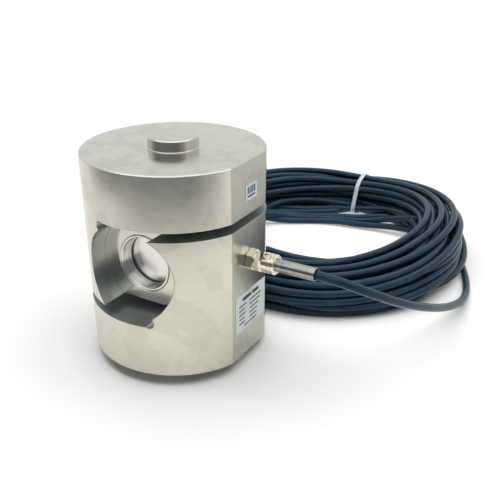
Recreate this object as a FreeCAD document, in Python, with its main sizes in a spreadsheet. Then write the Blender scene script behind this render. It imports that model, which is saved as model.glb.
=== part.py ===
"""Round S-type compression load cell with its cable gland and coiled cable.

The origin is the centre of the lower load stud's face, which stands on the floor. +Z is up, the gauge
bores run along Y, and the cable leaves through the flat on +X. Lengths are millimetres.
"""
import FreeCAD, Part
import math
import os

import Sketcher

Vector = FreeCAD.Vector

SIZES = (
    ("body_diameter", 112.0, "turned diameter of the spring body"),
    ("body_height", 127.0, "height of the spring body"),
    ("flat_depth", 3.5, "depth of the milled flat on +X"),
    ("rim_chamfer", 0.6, "chamfer on the body's end rims"),
    ("stud_diameter", 31.0, "load stud's smooth head"),
    ("stud_height", 7.0, "how far each load stud stands out"),
    ("stud_chamfer", 0.6, "chamfer on the stud's face"),
    ("stud_foot", 0.4, "flare at the stud's foot"),
    ("thread_diameter", 30.0, "load stud's thread"),
    ("thread_depth", 24.0, "depth of the tapped hole"),
    ("thread_clearance", 0.1, "radial clearance of the threads"),
    ("mouth_chamfer", 0.8, "chamfer at the tapped hole's mouth"),
    ("slit_width", 5.8, "width of the two S slits"),
    ("slit_offset", 27.5, "slit's middle above or below the body's middle"),
    ("slit_reach", 18.5, "how far a slit's round end passes the axis"),
    ("relief_diameter", 7.0, "relief hole at the end of a slit"),
    ("counterbore_diameter", 60.0, "side counterbores"),
    ("counterbore_floor", 35.3, "counterbore's floor from the body's middle plane"),
    ("seat_diameter", 36.2, "bore that takes the seal ring"),
    ("seat_chamfer", 0.5, "chamfer at that bore's mouth"),
    ("seat_ledge", 1.6, "ledge that the seal ring sits on"),
    ("web_thickness", 10.0, "sensing web between the two gauge cavities"),
    ("ring_clearance", 0.1, "radial clearance of the seal ring"),
    ("ring_depth", 12.0, "length of the seal ring"),
    ("ring_wall", 1.6, "seal ring's wall at its mouth"),
    ("ring_chamfer", 0.4, "chamfers on the seal ring's mouth"),
    ("cover_recess", 6.5, "cover's rim behind the seal ring's mouth"),
    ("cover_dish", 2.4, "cover's face behind its rim"),
    ("cover_thickness", 1.4, "cover's plate"),
    ("cover_ledge", 2.9, "ledge in the seal ring that carries the cover"),
    ("cover_clearance", 0.1, "radial clearance of the cover"),
    ("cover_rim", 0.6, "wall of the cover's rim"),
    ("gauge_side", 12.0, "side of a strain gauge's carrier"),
    ("gauge_thickness", 0.3, "strain gauge's carrier"),
    ("grid_side", 3.6, "side of a gauge's grid field"),
    ("grid_thickness", 0.1, "grid field above its carrier"),
    ("grid_gap", 0.3, "between the corners of the two grid fields"),
    ("board_width", 14.0, "terminal board"),
    ("board_thickness", 1.2, "terminal board"),
    ("board_clearance", 0.5, "board's corners from the cavity's wall"),
    ("resistor_length", 3.0, "trim resistors on the board"),
    ("resistor_width", 1.4, "trim resistors on the board"),
    ("resistor_thickness", 0.8, "trim resistors on the board"),
    ("resistor_pitch", 4.2, "spacing of the trim resistors"),
    ("resistor_inset", 2.1, "trim resistors' lower edge from the board's upper edge"),
    ("transit_diameter", 5.0, "wire holes through the web and out to the gland"),
    ("transit_edge", 1.0, "wall between a wire hole and the cavity's wall"),
    ("wire_diameter", 1.0, "signal wires inside the body"),
    ("wire_pitch", 1.2, "spacing of the signal wires in their hole"),
    ("pad_pitch", 3.0, "spacing of the solder pads on the board"),
    ("pad_inset", 3.0, "solder pads from the board's lower edge"),
    ("lead_wire_diameter", 0.8, "leads of the rear gauge"),
    ("lead_wire_pitch", 1.3, "spacing of those leads"),
    ("lead_pad_inset", 2.4, "those leads' pads from the board's lower edge"),
    ("gland_rise", 1.2, "gland's axis above the body's middle"),
    ("nipple_diameter", 10.0, "gland's thread"),
    ("nipple_length", 8.0, "gland's thread in the body"),
    ("nipple_run_out", 1.0, "spare depth of the gland's hole"),
    ("gland_hex", 12.0, "gland hexagons across flats"),
    ("hex_chamfer", 0.6, "length of the bevel on the hexagons' corners"),
    ("hex_bevel", 1.2, "depth of that bevel"),
    ("body_hex_length", 5.3, "hexagon of the gland body"),
    ("body_hex_turn", -9.0, "how far that hexagon is screwed round, in degrees"),
    ("neck_gap", 0.7, "open neck between the two hexagons"),
    ("boss_length", 4.2, "gland body's thread inside the nut"),
    ("nut_hex_length", 5.0, "hexagon of the gland nut"),
    ("nut_hex_turn", 6.0, "how far that hexagon is screwed round, in degrees"),
    ("collar_length", 8.0, "nut's round collar"),
    ("collar_diameter", 12.4, "nut's round collar"),
    ("collar_groove", 0.6, "depth and width of the collar's two grooves"),
    ("groove_near", 3.2, "collar's first groove from the hexagon"),
    ("groove_far", 5.6, "collar's second groove from the hexagon"),
    ("cable_diameter", 5.6, "cable's jacket"),
    ("cable_clearance", 0.1, "radial clearance of the cable in the gland"),
    ("jacket_inset", 4.0, "jacket's end inside the gland's thread"),
    ("seal_wall", 1.0, "rubber seal round the cable"),
    ("seal_length", 3.5, "rubber seal round the cable"),
    ("seal_proud", 0.5, "seal's end beyond the gland body"),
    ("sleeve_diameter", 7.9, "bend sleeve's outside"),
    ("sleeve_wall", 0.5, "bend sleeve's wall"),
    ("sleeve_flange", 0.65, "sleeve's flange inside the nut"),
    ("flange_thickness", 1.2, "sleeve's flange inside the nut"),
    ("sleeve_reach", 44.0, "sleeve's mouth from the flat"),
    ("lead_start", 28.0, "where the free lead begins, from the flat"),
    ("lead_straight", 25.5, "lead's straight run out of the sleeve"),
    ("label_width", 36.0, "wiring label"),
    ("label_height", 24.8, "wiring label"),
    ("label_bottom", 19.2, "wiring label's lower edge above the body's lower end"),
    ("label_shift", 1.1, "wiring label's middle along Y"),
    ("label_thickness", 0.2, "both labels"),
    ("badge_width", 12.4, "small plain label"),
    ("badge_height", 9.2, "small plain label"),
    ("badge_drop", 15.0, "small label's upper edge below the body's upper end"),
    ("badge_shift", 1.9, "small label's middle along Y"),
    ("coil_x", 19.0, "coil's middle"),
    ("coil_y", 182.0, "coil's middle"),
    ("coil_outer", 124.0, "coil's outer radius"),
    ("coil_inner", 62.0, "coil's inner radius"),
    ("coil_height", 34.0, "coil's height"),
    ("coil_round", 10.0, "bevel of the coil's upper edges"),
    ("coil_foot", 4.0, "bevel of the coil's lower edges"),
    ("tie_radius", 100.5, "middle of the tied bundle from the coil's middle"),
    ("bundle_width", 38.0, "tied bundle, across"),
    ("bundle_height", 29.0, "tied bundle, upright"),
    ("bundle_round", 11.0, "corners of the tied bundle"),
    ("tie_clearance", 0.2, "between the bundle and the tie"),
    ("tie_width", 3.6, "cable tie's strap"),
    ("tie_thickness", 1.2, "cable tie's strap"),
    ("tie_head_side", 5.4, "cable tie's head"),
    ("tie_head_depth", 4.4, "cable tie's head"),
    ("tie_gap", 0.5, "coil's cut beside the tie's head"),
    ("core_diameter", 1.3, "cores at the cable's bare end"),
    ("route_clearance", 0.3, "coil's cut round the cable that enters it"),
)

doc = FreeCAD.newDocument("load_cell")
sheet = doc.addObject("Spreadsheet::Sheet", "sizes")
for row, (alias, number, note) in enumerate(SIZES, start=1):
    sheet.set(f"A{row}", alias)
    sheet.set(f"B{row}", str(number))
    sheet.set(f"C{row}", note)
    sheet.setAlias(f"B{row}", alias)
doc.recompute()

# Places that several pieces share, as expressions of the sheet's cells.
RADIUS = "(sizes.body_diameter / 2)"
BODY_TOP = "(sizes.stud_height + sizes.body_height)"
MIDDLE = "(sizes.stud_height + sizes.body_height / 2)"
FLAT = "(sizes.body_diameter / 2 - sizes.flat_depth)"
WEB_FACE = "(sizes.web_thickness / 2)"
CAVITY_RADIUS = "(sizes.seat_diameter / 2 - sizes.seat_ledge)"
BOARD_TOP = f"sqrt(pow({CAVITY_RADIUS} - sizes.board_clearance; 2) - pow(sizes.board_width / 2; 2))"
RING_RADIUS = "(sizes.seat_diameter / 2 - sizes.ring_clearance)"
RING_BORE = f"({RING_RADIUS} - sizes.ring_wall)"
COVER_RIM = "(sizes.counterbore_floor - sizes.cover_recess)"
COVER_FACE = f"({COVER_RIM} - sizes.cover_dish)"
COVER_BACK = f"({COVER_FACE} - sizes.cover_thickness)"
GLAND_AXIS = f"({MIDDLE} + sizes.gland_rise)"
CABLE_RADIUS = "(sizes.cable_diameter / 2)"
GLAND_BORE = f"({CABLE_RADIUS} + sizes.cable_clearance)"
NUT_START = f"({FLAT} + sizes.body_hex_length + sizes.neck_gap)"
BOSS_END = f"({FLAT} + sizes.body_hex_length + sizes.boss_length)"
SEAL_END = f"({BOSS_END} + sizes.seal_proud)"
NUT_SHOULDER = f"({SEAL_END} + sizes.flange_thickness)"
TRANSIT_X = f"({CAVITY_RADIUS} - sizes.transit_edge - sizes.transit_diameter / 2)"
JACKET_END = f"({FLAT} - sizes.jacket_inset)"
LEAD_START = f"({FLAT} + sizes.lead_start)"
BUNDLE_Y = "(sizes.coil_y + sizes.tie_radius)"
TIE_OPENING = "(sizes.bundle_width + 2 * sizes.tie_clearance)"

# Free routes of the cable, in the order in which it runs. The lead starts in the bend sleeve, sinks to the
# floor and enters the coil. The tail leaves the coil on its far side and ends in bare cores.
LEAD_BEND = (
    Vector(126.0, 13.0, 61.0),
    Vector(138.0, 36.0, 46.5),
    Vector(145.5, 62.0, 33.0),
    Vector(150.0, 88.0, 21.0),
    Vector(153.5, 114.0, 11.0),
    Vector(155.0, 140.0, 4.4),
    Vector(150.5, 165.0, 2.8),
    Vector(142.0, 189.0, 2.8),
    Vector(131.5, 211.5, 2.8),
)
TAIL_ROUTE = (
    Vector(-97.4, 169.8, 2.8),
    Vector(-95.1, 148.0, 2.8),
    Vector(-90.1, 126.0, 2.8),
    Vector(-82.1, 105.0, 2.8),
    Vector(-72.1, 85.5, 2.8),
)
# How each bare core leaves the tail's end: its place on the jacket's end face, its spread and its reach.
CORES = (
    ("core_red", (-1.2, 0.9), -9.0, 30.0),
    ("core_black", (-1.2, -0.9), -4.0, 33.0),
    ("core_green", (1.2, 0.9), 4.5, 31.0),
    ("core_white", (1.2, -0.9), 9.5, 28.0),
    ("core_shield", (0.0, 0.0), 0.5, 26.0),
)
# Shares of a core's reach at which it bends down, and of its spread that it has when it meets the floor.
CORE_BEND = 0.28
CORE_TOUCH = 0.64
CORE_TURN = 0.4
# Share of the shorter run that each rounded corner of a cable or a wire takes up.
CORD_SHARE = 0.45
WIRE_SHARE = 0.25
# The body's two sides, as signs of Y.
FRONT = -1
REAR = 1
# Largest difference that counts as equal, for lengths and for a tube's relative volume.
SAME_LENGTH = 1e-6
SAME_VOLUME = 0.005

nodes = []


def value(expression):
    """Number that an expression of the sheet's cells gives."""
    return float(sheet.evalExpression(expression))


def keep(piece, label):
    """List a finished object as one sub-part of the load cell."""
    piece.Label = label
    nodes.append(piece)
    return piece


def new_body(label):
    """Empty design body that becomes one sub-part."""
    return keep(doc.addObject("PartDesign::Body", label), label)


def origin_plane(body, role):
    """One of a body's own origin planes."""
    return next(item for item in body.Origin.OriginFeatures if item.Role == role)


def add_sketch(body, name, role, shift=("0", "0", "0")):
    """Sketch on an origin plane, shifted by three expressions in the sketch's own axes."""
    sketch = body.newObject("Sketcher::SketchObject", f"{body.Name}_{name}")
    sketch.AttachmentSupport = [(origin_plane(body, role), "")]
    sketch.MapMode = "FlatFace"
    for axis, expression in zip("xyz", shift):
        if expression != "0":
            sketch.setExpression(f"AttachmentOffset.Base.{axis}", expression)
    return sketch


def circle_sketch(body, name, role, diameter, shift):
    """Sketch of one circle about the shifted origin."""
    sketch = add_sketch(body, name, role, shift)
    sketch.addGeometry(Part.Circle(Vector(), Vector(0, 0, 1), value(diameter) / 2), False)
    sketch.addConstraint(Sketcher.Constraint("Coincident", 0, 3, -1, 1))
    index = sketch.addConstraint(Sketcher.Constraint("Diameter", 0, value(diameter)))
    sketch.setExpression(f"Constraints[{index}]", diameter)
    return sketch


def profile_sketch(body, name, role, corners, shift=("0", "0", "0")):
    """Sketch of a closed outline whose corners are pairs of expressions."""
    sketch = add_sketch(body, name, role, shift)
    points = [Vector(value(across), value(up), 0) for across, up in corners]
    count = len(points)
    for i in range(count):
        sketch.addGeometry(Part.LineSegment(points[i], points[(i + 1) % count]), False)
    for i in range(count):
        sketch.addConstraint(Sketcher.Constraint("Coincident", i, 2, (i + 1) % count, 1))
    for i, (across, up) in enumerate(corners):
        for kind, expression in (("DistanceX", across), ("DistanceY", up)):
            index = sketch.addConstraint(Sketcher.Constraint(kind, -1, 1, i, 1, value(expression)))
            sketch.setExpression(f"Constraints[{index}]", expression)
    return sketch


def rectangle(left, right, low, high):
    """Corners of an upright rectangle."""
    return ((left, low), (right, low), (right, high), (left, high))


def pad(body, name, sketch, length, both_ways=False):
    """Pad along the sketch's normal."""
    feature = body.newObject("PartDesign::Pad", f"{body.Name}_{name}")
    feature.Profile = sketch
    feature.setExpression("Length", length)
    feature.Midplane = both_ways
    doc.recompute()
    return feature


def pocket(body, name, sketch, length, along_normal=False, both_ways=False):
    """Pocket against the sketch's normal, along it, or both ways, that has to remove material."""
    before = body.Shape.Volume
    feature = body.newObject("PartDesign::Pocket", f"{body.Name}_{name}")
    feature.Profile = sketch
    feature.setExpression("Length", length)
    feature.Reversed = along_normal
    feature.Midplane = both_ways
    doc.recompute()
    if not feature.Shape.Volume < before:
        raise RuntimeError(f"{feature.Name} removes nothing")
    return feature


def turn(body, name, sketch, axis, cut=False):
    """Full turn of a profile about one of its sketch's axes, added or cut away."""
    kind = "PartDesign::Groove" if cut else "PartDesign::Revolution"
    feature = body.newObject(kind, f"{body.Name}_{name}")
    feature.Profile = sketch
    feature.ReferenceAxis = (sketch, [axis])
    feature.Angle = 360
    doc.recompute()
    return feature


def edge_names(feature, test):
    """Names of a feature's edges that pass a test."""
    return [f"Edge{i}" for i, edge in enumerate(feature.Shape.Edges, start=1) if test(edge)]


def chamfer(body, name, feature, names, length):
    """Chamfer on named edges."""
    result = body.newObject("PartDesign::Chamfer", f"{body.Name}_{name}")
    result.Base = (feature, names)
    result.setExpression("Size", length)
    doc.recompute()
    return result


def fillet(body, name, feature, names, radius):
    """Fillet on named edges."""
    result = body.newObject("PartDesign::Fillet", f"{body.Name}_{name}")
    result.Base = (feature, names)
    result.setExpression("Radius", radius)
    doc.recompute()
    return result


def make_body():
    """S-cut spring body: one turned and milled piece of steel."""
    body = new_body("body")
    outline = add_sketch(body, "outline", "XY_Plane", ("0", "0", "sizes.stud_height"))
    radius = value(RADIUS)
    flat = value(FLAT)
    half_turn = math.acos(flat / radius)
    circle = Part.Circle(Vector(), Vector(0, 0, 1), radius)
    outline.addGeometry(Part.ArcOfCircle(circle, half_turn, 2 * math.pi - half_turn), False)
    half_chord = radius * math.sin(half_turn)
    outline.addGeometry(Part.LineSegment(Vector(flat, -half_chord, 0), Vector(flat, half_chord, 0)), False)
    outline.addConstraint(Sketcher.Constraint("Coincident", 0, 3, -1, 1))
    outline.addConstraint(Sketcher.Constraint("Coincident", 0, 2, 1, 1))
    outline.addConstraint(Sketcher.Constraint("Coincident", 0, 1, 1, 2))
    outline.addConstraint(Sketcher.Constraint("Vertical", 1))
    index = outline.addConstraint(Sketcher.Constraint("Radius", 0, radius))
    outline.setExpression(f"Constraints[{index}]", RADIUS)
    index = outline.addConstraint(Sketcher.Constraint("DistanceX", -1, 1, 1, 1, flat))
    outline.setExpression(f"Constraints[{index}]", FLAT)
    blank = pad(body, "blank", outline, "sizes.body_height")

    ends = (value("sizes.stud_height"), value(BODY_TOP))
    rims = edge_names(blank, lambda edge: edge.BoundBox.ZLength < SAME_LENGTH
                      and min(abs(edge.BoundBox.ZMin - end) for end in ends) < SAME_LENGTH)
    chamfer(body, "rims", blank, rims, "sizes.rim_chamfer")

    # The counterbore, the seal ring's seat and the gauge cavity, each cut outwards from its floor.
    bores = []
    for name, diameter, floor in (
        ("counterbore", "sizes.counterbore_diameter", "sizes.counterbore_floor"),
        ("ring_seat", "sizes.seat_diameter", "sizes.counterbore_floor - sizes.ring_depth"),
        ("cavity", f"2 * {CAVITY_RADIUS}", WEB_FACE),
    ):
        sketch = circle_sketch(body, f"{name}_circle", "XZ_Plane", diameter, ("0", MIDDLE, floor))
        bores.append(pocket(body, name, sketch, "sizes.body_diameter", along_normal=True))
    rear = body.newObject("PartDesign::Mirrored", "rear_bores")
    rear.Originals = bores
    rear.MirrorPlane = (origin_plane(body, "XZ_Plane"), [""])
    body.Tip = rear
    doc.recompute()

    # One slit with its relief hole and the tapped hole above it, and the same again half a turn on.
    slit_end = "(sizes.slit_reach - sizes.relief_diameter / 2)"
    slit_sketch = profile_sketch(body, "slit_outline", "XZ_Plane", rectangle(
        f"-{slit_end}", "sizes.body_diameter",
        "sizes.slit_offset - sizes.slit_width / 2", "sizes.slit_offset + sizes.slit_width / 2",
    ), ("0", MIDDLE, "0"))
    slit = pocket(body, "slit", slit_sketch, "2 * sizes.body_diameter", both_ways=True)
    relief_sketch = circle_sketch(body, "relief_circle", "XZ_Plane", "sizes.relief_diameter",
                                  (f"-{slit_end}", f"{MIDDLE} + sizes.slit_offset", "0"))
    relief = pocket(body, "relief", relief_sketch, "2 * sizes.body_diameter", both_ways=True)
    thread_radius = "sizes.thread_diameter / 2"
    hole_sketch = profile_sketch(body, "tapped_profile", "XZ_Plane", (
        ("0", f"{BODY_TOP} - sizes.thread_depth"),
        (thread_radius, f"{BODY_TOP} - sizes.thread_depth"),
        (thread_radius, f"{BODY_TOP} - sizes.mouth_chamfer"),
        (f"{thread_radius} + sizes.mouth_chamfer", BODY_TOP),
        ("0", BODY_TOP),
    ))
    tapped = turn(body, "tapped_hole", hole_sketch, "V_Axis", cut=True)
    halves = body.newObject("PartDesign::PolarPattern", "half_turn")
    halves.Originals = [slit, relief, tapped]
    halves.Axis = (slit_sketch, ["N_Axis"])
    halves.Angle = 360
    halves.Occurrences = 2
    body.Tip = halves
    doc.recompute()

    # The gland's tapped hole, the wire hole behind it and the two holes through the web.
    gland_hole = circle_sketch(body, "gland_circle", "YZ_Plane",
                               "sizes.nipple_diameter + 2 * sizes.thread_clearance", ("0", GLAND_AXIS, FLAT))
    pocket(body, "gland_hole", gland_hole, "sizes.nipple_length + sizes.nipple_run_out")
    wire_hole = circle_sketch(body, "wire_circle", "YZ_Plane", "sizes.transit_diameter",
                              ("0", GLAND_AXIS, FLAT))
    pocket(body, "wire_hole", wire_hole, f"{FLAT} - {TRANSIT_X}")
    for name, place, height in (("signal", TRANSIT_X, GLAND_AXIS), ("bridge", f"-{TRANSIT_X}", MIDDLE)):
        hole = circle_sketch(body, f"{name}_circle", "XZ_Plane", "sizes.transit_diameter",
                             (place, height, "0"))
        last = pocket(body, f"{name}_hole", hole, "sizes.web_thickness", both_ways=True)

    floor = value("sizes.counterbore_floor")
    seat = value("sizes.seat_diameter")
    mouths = edge_names(last, lambda edge: edge.BoundBox.YLength < SAME_LENGTH
                        and abs(abs(edge.BoundBox.YMin) - floor) < SAME_LENGTH
                        and abs(edge.BoundBox.XLength - seat) < SAME_LENGTH)
    chamfer(body, "seat_mouths", last, mouths, "sizes.seat_chamfer")


def make_load_stud(label, top):
    """Smooth round load stud, screwed down to the floor of its tapped hole."""
    body = new_body(label)
    end = BODY_TOP if top else "sizes.stud_height"
    sign = "+" if top else "-"
    head = "sizes.stud_diameter / 2"
    thread = "sizes.thread_diameter / 2 - sizes.thread_clearance"
    face = f"{end} {sign} sizes.stud_height"
    inner = "-" if top else "+"
    sketch = profile_sketch(body, "profile", "XZ_Plane", (
        ("0", f"{end} {inner} sizes.thread_depth"),
        (thread, f"{end} {inner} sizes.thread_depth"),
        (thread, end),
        (f"{head} + sizes.stud_foot", end),
        (head, f"{end} {sign} sizes.stud_foot"),
        (head, f"{face} {inner} sizes.stud_chamfer"),
        (f"{head} - sizes.stud_chamfer", face),
        ("0", face),
    ))
    turn(body, "turned", sketch, "V_Axis")


def make_seal_ring(label, side):
    """Ring on the cavity's ledge, with a chamfered mouth and an inner ledge for the cover."""
    body = new_body(label)
    mouth = "sizes.counterbore_floor"
    back = "sizes.counterbore_floor - sizes.ring_depth"
    corners = (
        (f"{RING_BORE} - sizes.cover_ledge", back),
        (RING_RADIUS, back),
        (RING_RADIUS, f"{mouth} - sizes.ring_chamfer"),
        (f"{RING_RADIUS} - sizes.ring_chamfer", mouth),
        (f"{RING_BORE} + sizes.ring_chamfer", mouth),
        (RING_BORE, f"{mouth} - sizes.ring_chamfer"),
        (RING_BORE, COVER_BACK),
        (f"{RING_BORE} - sizes.cover_ledge", COVER_BACK),
    )
    sketch = profile_sketch(body, "profile", "XY_Plane", along_side(corners, side), ("0", "0", MIDDLE))
    turn(body, "turned", sketch, "V_Axis")


def make_cover(label, side):
    """Dished cover with a thin upright rim."""
    body = new_body(label)
    edge = f"{RING_BORE} - sizes.cover_clearance"
    inside = f"{edge} - sizes.cover_rim"
    corners = (
        ("0", COVER_BACK),
        (edge, COVER_BACK),
        (edge, COVER_RIM),
        (inside, COVER_RIM),
        (inside, COVER_FACE),
        ("0", COVER_FACE),
    )
    sketch = profile_sketch(body, "profile", "XY_Plane", along_side(corners, side), ("0", "0", MIDDLE))
    turn(body, "turned", sketch, "V_Axis")


def along_side(corners, side):
    """Corners with their second coordinate on the front or the rear of the body."""
    return tuple((across, f"{side} * ({depth})") for across, depth in corners)


def make_gauge(label, side):
    """Shear gauge on the web: a thin carrier with two grid fields at right angles."""
    body = new_body(label)
    half = "sizes.gauge_side / 2"
    outward = side < 0
    sketch = profile_sketch(body, "carrier_outline", "XZ_Plane",
                            rectangle(f"-{half}", half, f"-{half}", half),
                            ("0", MIDDLE, f"{-side} * {WEB_FACE}"))
    carrier = pad(body, "carrier", sketch, "sizes.gauge_thickness")
    carrier.Reversed = not outward
    reach = "sizes.grid_side / sqrt(2)"
    place = f"({reach} + sizes.grid_gap / 2)"
    for name, middle in (("left", f"-{place}"), ("right", place)):
        corners = (
            (f"{middle} - {reach}", "0"),
            (middle, f"-{reach}"),
            (f"{middle} + {reach}", "0"),
            (middle, reach),
        )
        field = profile_sketch(body, f"{name}_outline", "XZ_Plane", corners,
                               ("0", MIDDLE, f"{-side} * ({WEB_FACE} + sizes.gauge_thickness)"))
        grid = pad(body, f"{name}_grid", field, "sizes.grid_thickness")
        grid.Reversed = not outward
    doc.recompute()


def make_terminal_board():
    """Small board on the front of the web, between the gauge and the cavity's wall."""
    body = new_body("terminal_board")
    half = "sizes.board_width / 2"
    sketch = profile_sketch(body, "outline", "XZ_Plane",
                            rectangle(f"-{half}", half, "sizes.gauge_side / 2", BOARD_TOP),
                            ("0", MIDDLE, WEB_FACE))
    pad(body, "plate", sketch, "sizes.board_thickness")


def box(name, length, width, height, corner):
    """Box whose sides and lowest corner are expressions."""
    piece = doc.addObject("Part::Box", name)
    for side, expression in zip(("Length", "Width", "Height"), (length, width, height)):
        piece.setExpression(side, expression)
    for axis, expression in zip("xyz", corner):
        piece.setExpression(f"Placement.Base.{axis}", expression)
    return piece


def make_trim_resistors():
    """Three trim resistors in a row along the board's upper edge."""
    group = doc.addObject("Part::Compound", "trim_resistors")
    length, thickness, width = "sizes.resistor_length", "sizes.resistor_thickness", "sizes.resistor_width"
    group.Links = [
        box(f"{place}_resistor", length, thickness, width, (
            f"{step} * sizes.resistor_pitch - {length} / 2",
            f"-{WEB_FACE} - sizes.board_thickness - {thickness}",
            f"{MIDDLE} + {BOARD_TOP} - sizes.resistor_inset",
        ))
        for place, step in (("left", -1), ("middle", 0), ("right", 1))
    ]
    keep(group, "trim_resistors")


def rounded_path(points, share):
    """Straight runs joined by tangent arcs, with the path's length and the arcs' radii."""
    edges = []
    radii = []
    start = points[0]
    for before, corner, after in zip(points, points[1:], points[2:]):
        into = (corner - before).normalize()
        out = (after - corner).normalize()
        half_turn = into.getAngle(out) / 2
        tangent = share * min((corner - before).Length, (after - corner).Length)
        radius = tangent / math.tan(half_turn)
        inside = (out - into).normalize()
        middle = corner + inside * (radius / math.cos(half_turn) - radius)
        arc_start = corner - into * tangent
        arc_end = corner + out * tangent
        edges.append(Part.LineSegment(start, arc_start).toShape())
        edges.append(Part.Arc(arc_start, middle, arc_end).toShape())
        radii.append(radius)
        start = arc_end
    edges.append(Part.LineSegment(start, points[-1]).toShape())
    return Part.Wire(edges), radii


def tube_solid(name, points, diameter, share):
    """Round tube along a path, with its volume compared with its section times its length."""
    path, radii = rounded_path(points, share)
    section = Part.Wire(Part.makeCircle(diameter / 2, points[0], points[1] - points[0]))
    solid = path.makePipeShell([section], True, False)
    expected = math.pi * diameter ** 2 / 4 * path.Length
    if abs(solid.Volume / expected - 1) > SAME_VOLUME:
        raise RuntimeError(f"{name}: the tube's volume is {solid.Volume:.1f}, not {expected:.1f}")
    print(f"{name}: length {path.Length:.1f}, radii {[round(radius, 1) for radius in radii]}")
    return solid


def make_tube(label, points, diameter, share):
    """Tube that is a sub-part by itself."""
    feature = doc.addObject("Part::Feature", label)
    feature.Shape = tube_solid(label, points, diameter, share)
    return keep(feature, label)


def make_signal_wires():
    """Four wires from the board's pads through the web's hole and out to the cable's cores."""
    diameter = value("sizes.wire_diameter")
    lift = -value(f"{WEB_FACE} + sizes.board_thickness") - diameter / 2
    pad_height = value(f"{MIDDLE} + sizes.gauge_side / 2 + sizes.pad_inset")
    across = value(TRANSIT_X)
    for colour, step in (("red", -1.5), ("black", -0.5), ("green", 0.5), ("white", 1.5)):
        level = value(GLAND_AXIS) + step * value("sizes.wire_pitch")
        points = (
            Vector(step * value("sizes.pad_pitch"), lift, pad_height),
            Vector(across, lift, level),
            Vector(across, 0, level),
            Vector(value(JACKET_END), 0, level),
        )
        make_tube(f"wire_{colour}", points, diameter, WIRE_SHARE)


def make_bridge_leads():
    """Two leads from the rear gauge through the web to the board."""
    diameter = value("sizes.lead_wire_diameter")
    across = -value(TRANSIT_X)
    rear_lift = value(f"{WEB_FACE} + sizes.gauge_thickness") + diameter / 2
    front_lift = -value(f"{WEB_FACE} + sizes.board_thickness") - diameter / 2
    gauge_edge = -value("sizes.gauge_side / 2")
    board_edge = -value("sizes.board_width / 2")
    pad_height = value(f"{MIDDLE} + sizes.gauge_side / 2 + sizes.lead_pad_inset")
    solids = []
    for name, step in (("lower", -0.5), ("upper", 0.5)):
        shift = step * value("sizes.lead_wire_pitch")
        level = value(MIDDLE) + shift
        points = (
            Vector(gauge_edge + diameter, rear_lift, level),
            Vector(across, rear_lift, level),
            Vector(across, front_lift, level),
            Vector(board_edge + diameter, front_lift, pad_height + shift),
        )
        solids.append(tube_solid(f"{name}_bridge_lead", points, diameter, WIRE_SHARE))
    feature = doc.addObject("Part::Feature", "bridge_leads")
    feature.Shape = Part.makeCompound(solids)
    keep(feature, "bridge_leads")


def hexagon(across_flats):
    """Corners of a hexagon with two corners upright."""
    reach = f"{across_flats} / sqrt(3)"
    return tuple((f"{reach} * cos({angle} deg)", f"{reach} * sin({angle} deg)")
                 for angle in range(30, 390, 60))


def bevel_hexagon(body, name, start, end):
    """Cut a hexagon's corners back in a cone at each end."""
    corner = "(sizes.gland_hex / sqrt(3))"
    for side, face, inner in (("near", start, f"{start} + sizes.hex_chamfer"),
                              ("far", end, f"{end} - sizes.hex_chamfer")):
        sketch = profile_sketch(body, f"{name}_{side}_bevel", "XZ_Plane", (
            (face, f"{corner} - sizes.hex_bevel"),
            (face, f"{corner} + sizes.hex_bevel"),
            (inner, f"{corner} + sizes.hex_bevel"),
            (inner, corner),
        ), ("0", GLAND_AXIS, "0"))
        turn(body, f"{name}_{side}_cone", sketch, "H_Axis", cut=True)


def make_gland_body():
    """Gland body: a thread in the flat, a hexagon against it and a thread for the nut."""
    body = new_body("gland_body")
    hex_end = f"({FLAT} + sizes.body_hex_length)"
    thread = "sizes.nipple_diameter / 2"
    outline = profile_sketch(body, "hexagon", "YZ_Plane", hexagon("sizes.gland_hex"), ("0", GLAND_AXIS, FLAT))
    outline.setExpression("AttachmentOffset.Rotation.Angle", "sizes.body_hex_turn")
    pad(body, "hexagon_pad", outline, "sizes.body_hex_length")
    bevel_hexagon(body, "hexagon", FLAT, hex_end)
    threads = profile_sketch(body, "thread_profile", "XZ_Plane", (
        (f"{FLAT} - sizes.nipple_length", "0"),
        (BOSS_END, "0"),
        (BOSS_END, thread),
        (f"{FLAT} - sizes.nipple_length", thread),
    ), ("0", GLAND_AXIS, "0"))
    turn(body, "threads", threads, "H_Axis")
    seal_radius = f"{CABLE_RADIUS} + sizes.seal_wall"
    seal_floor = f"{SEAL_END} - sizes.seal_length"
    bore = profile_sketch(body, "bore_profile", "XZ_Plane", (
        (f"{FLAT} - sizes.nipple_length", "0"),
        (BOSS_END, "0"),
        (BOSS_END, seal_radius),
        (seal_floor, seal_radius),
        (seal_floor, GLAND_BORE),
        (f"{FLAT} - sizes.nipple_length", GLAND_BORE),
    ), ("0", GLAND_AXIS, "0"))
    turn(body, "bore", bore, "H_Axis", cut=True)


def make_gland_seal():
    """Rubber bush that the nut squeezes round the cable."""
    body = new_body("gland_seal")
    sketch = profile_sketch(body, "profile", "XZ_Plane", rectangle(
        f"{SEAL_END} - sizes.seal_length", SEAL_END, CABLE_RADIUS, f"{CABLE_RADIUS} + sizes.seal_wall",
    ), ("0", GLAND_AXIS, "0"))
    turn(body, "bush", sketch, "H_Axis")


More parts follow.
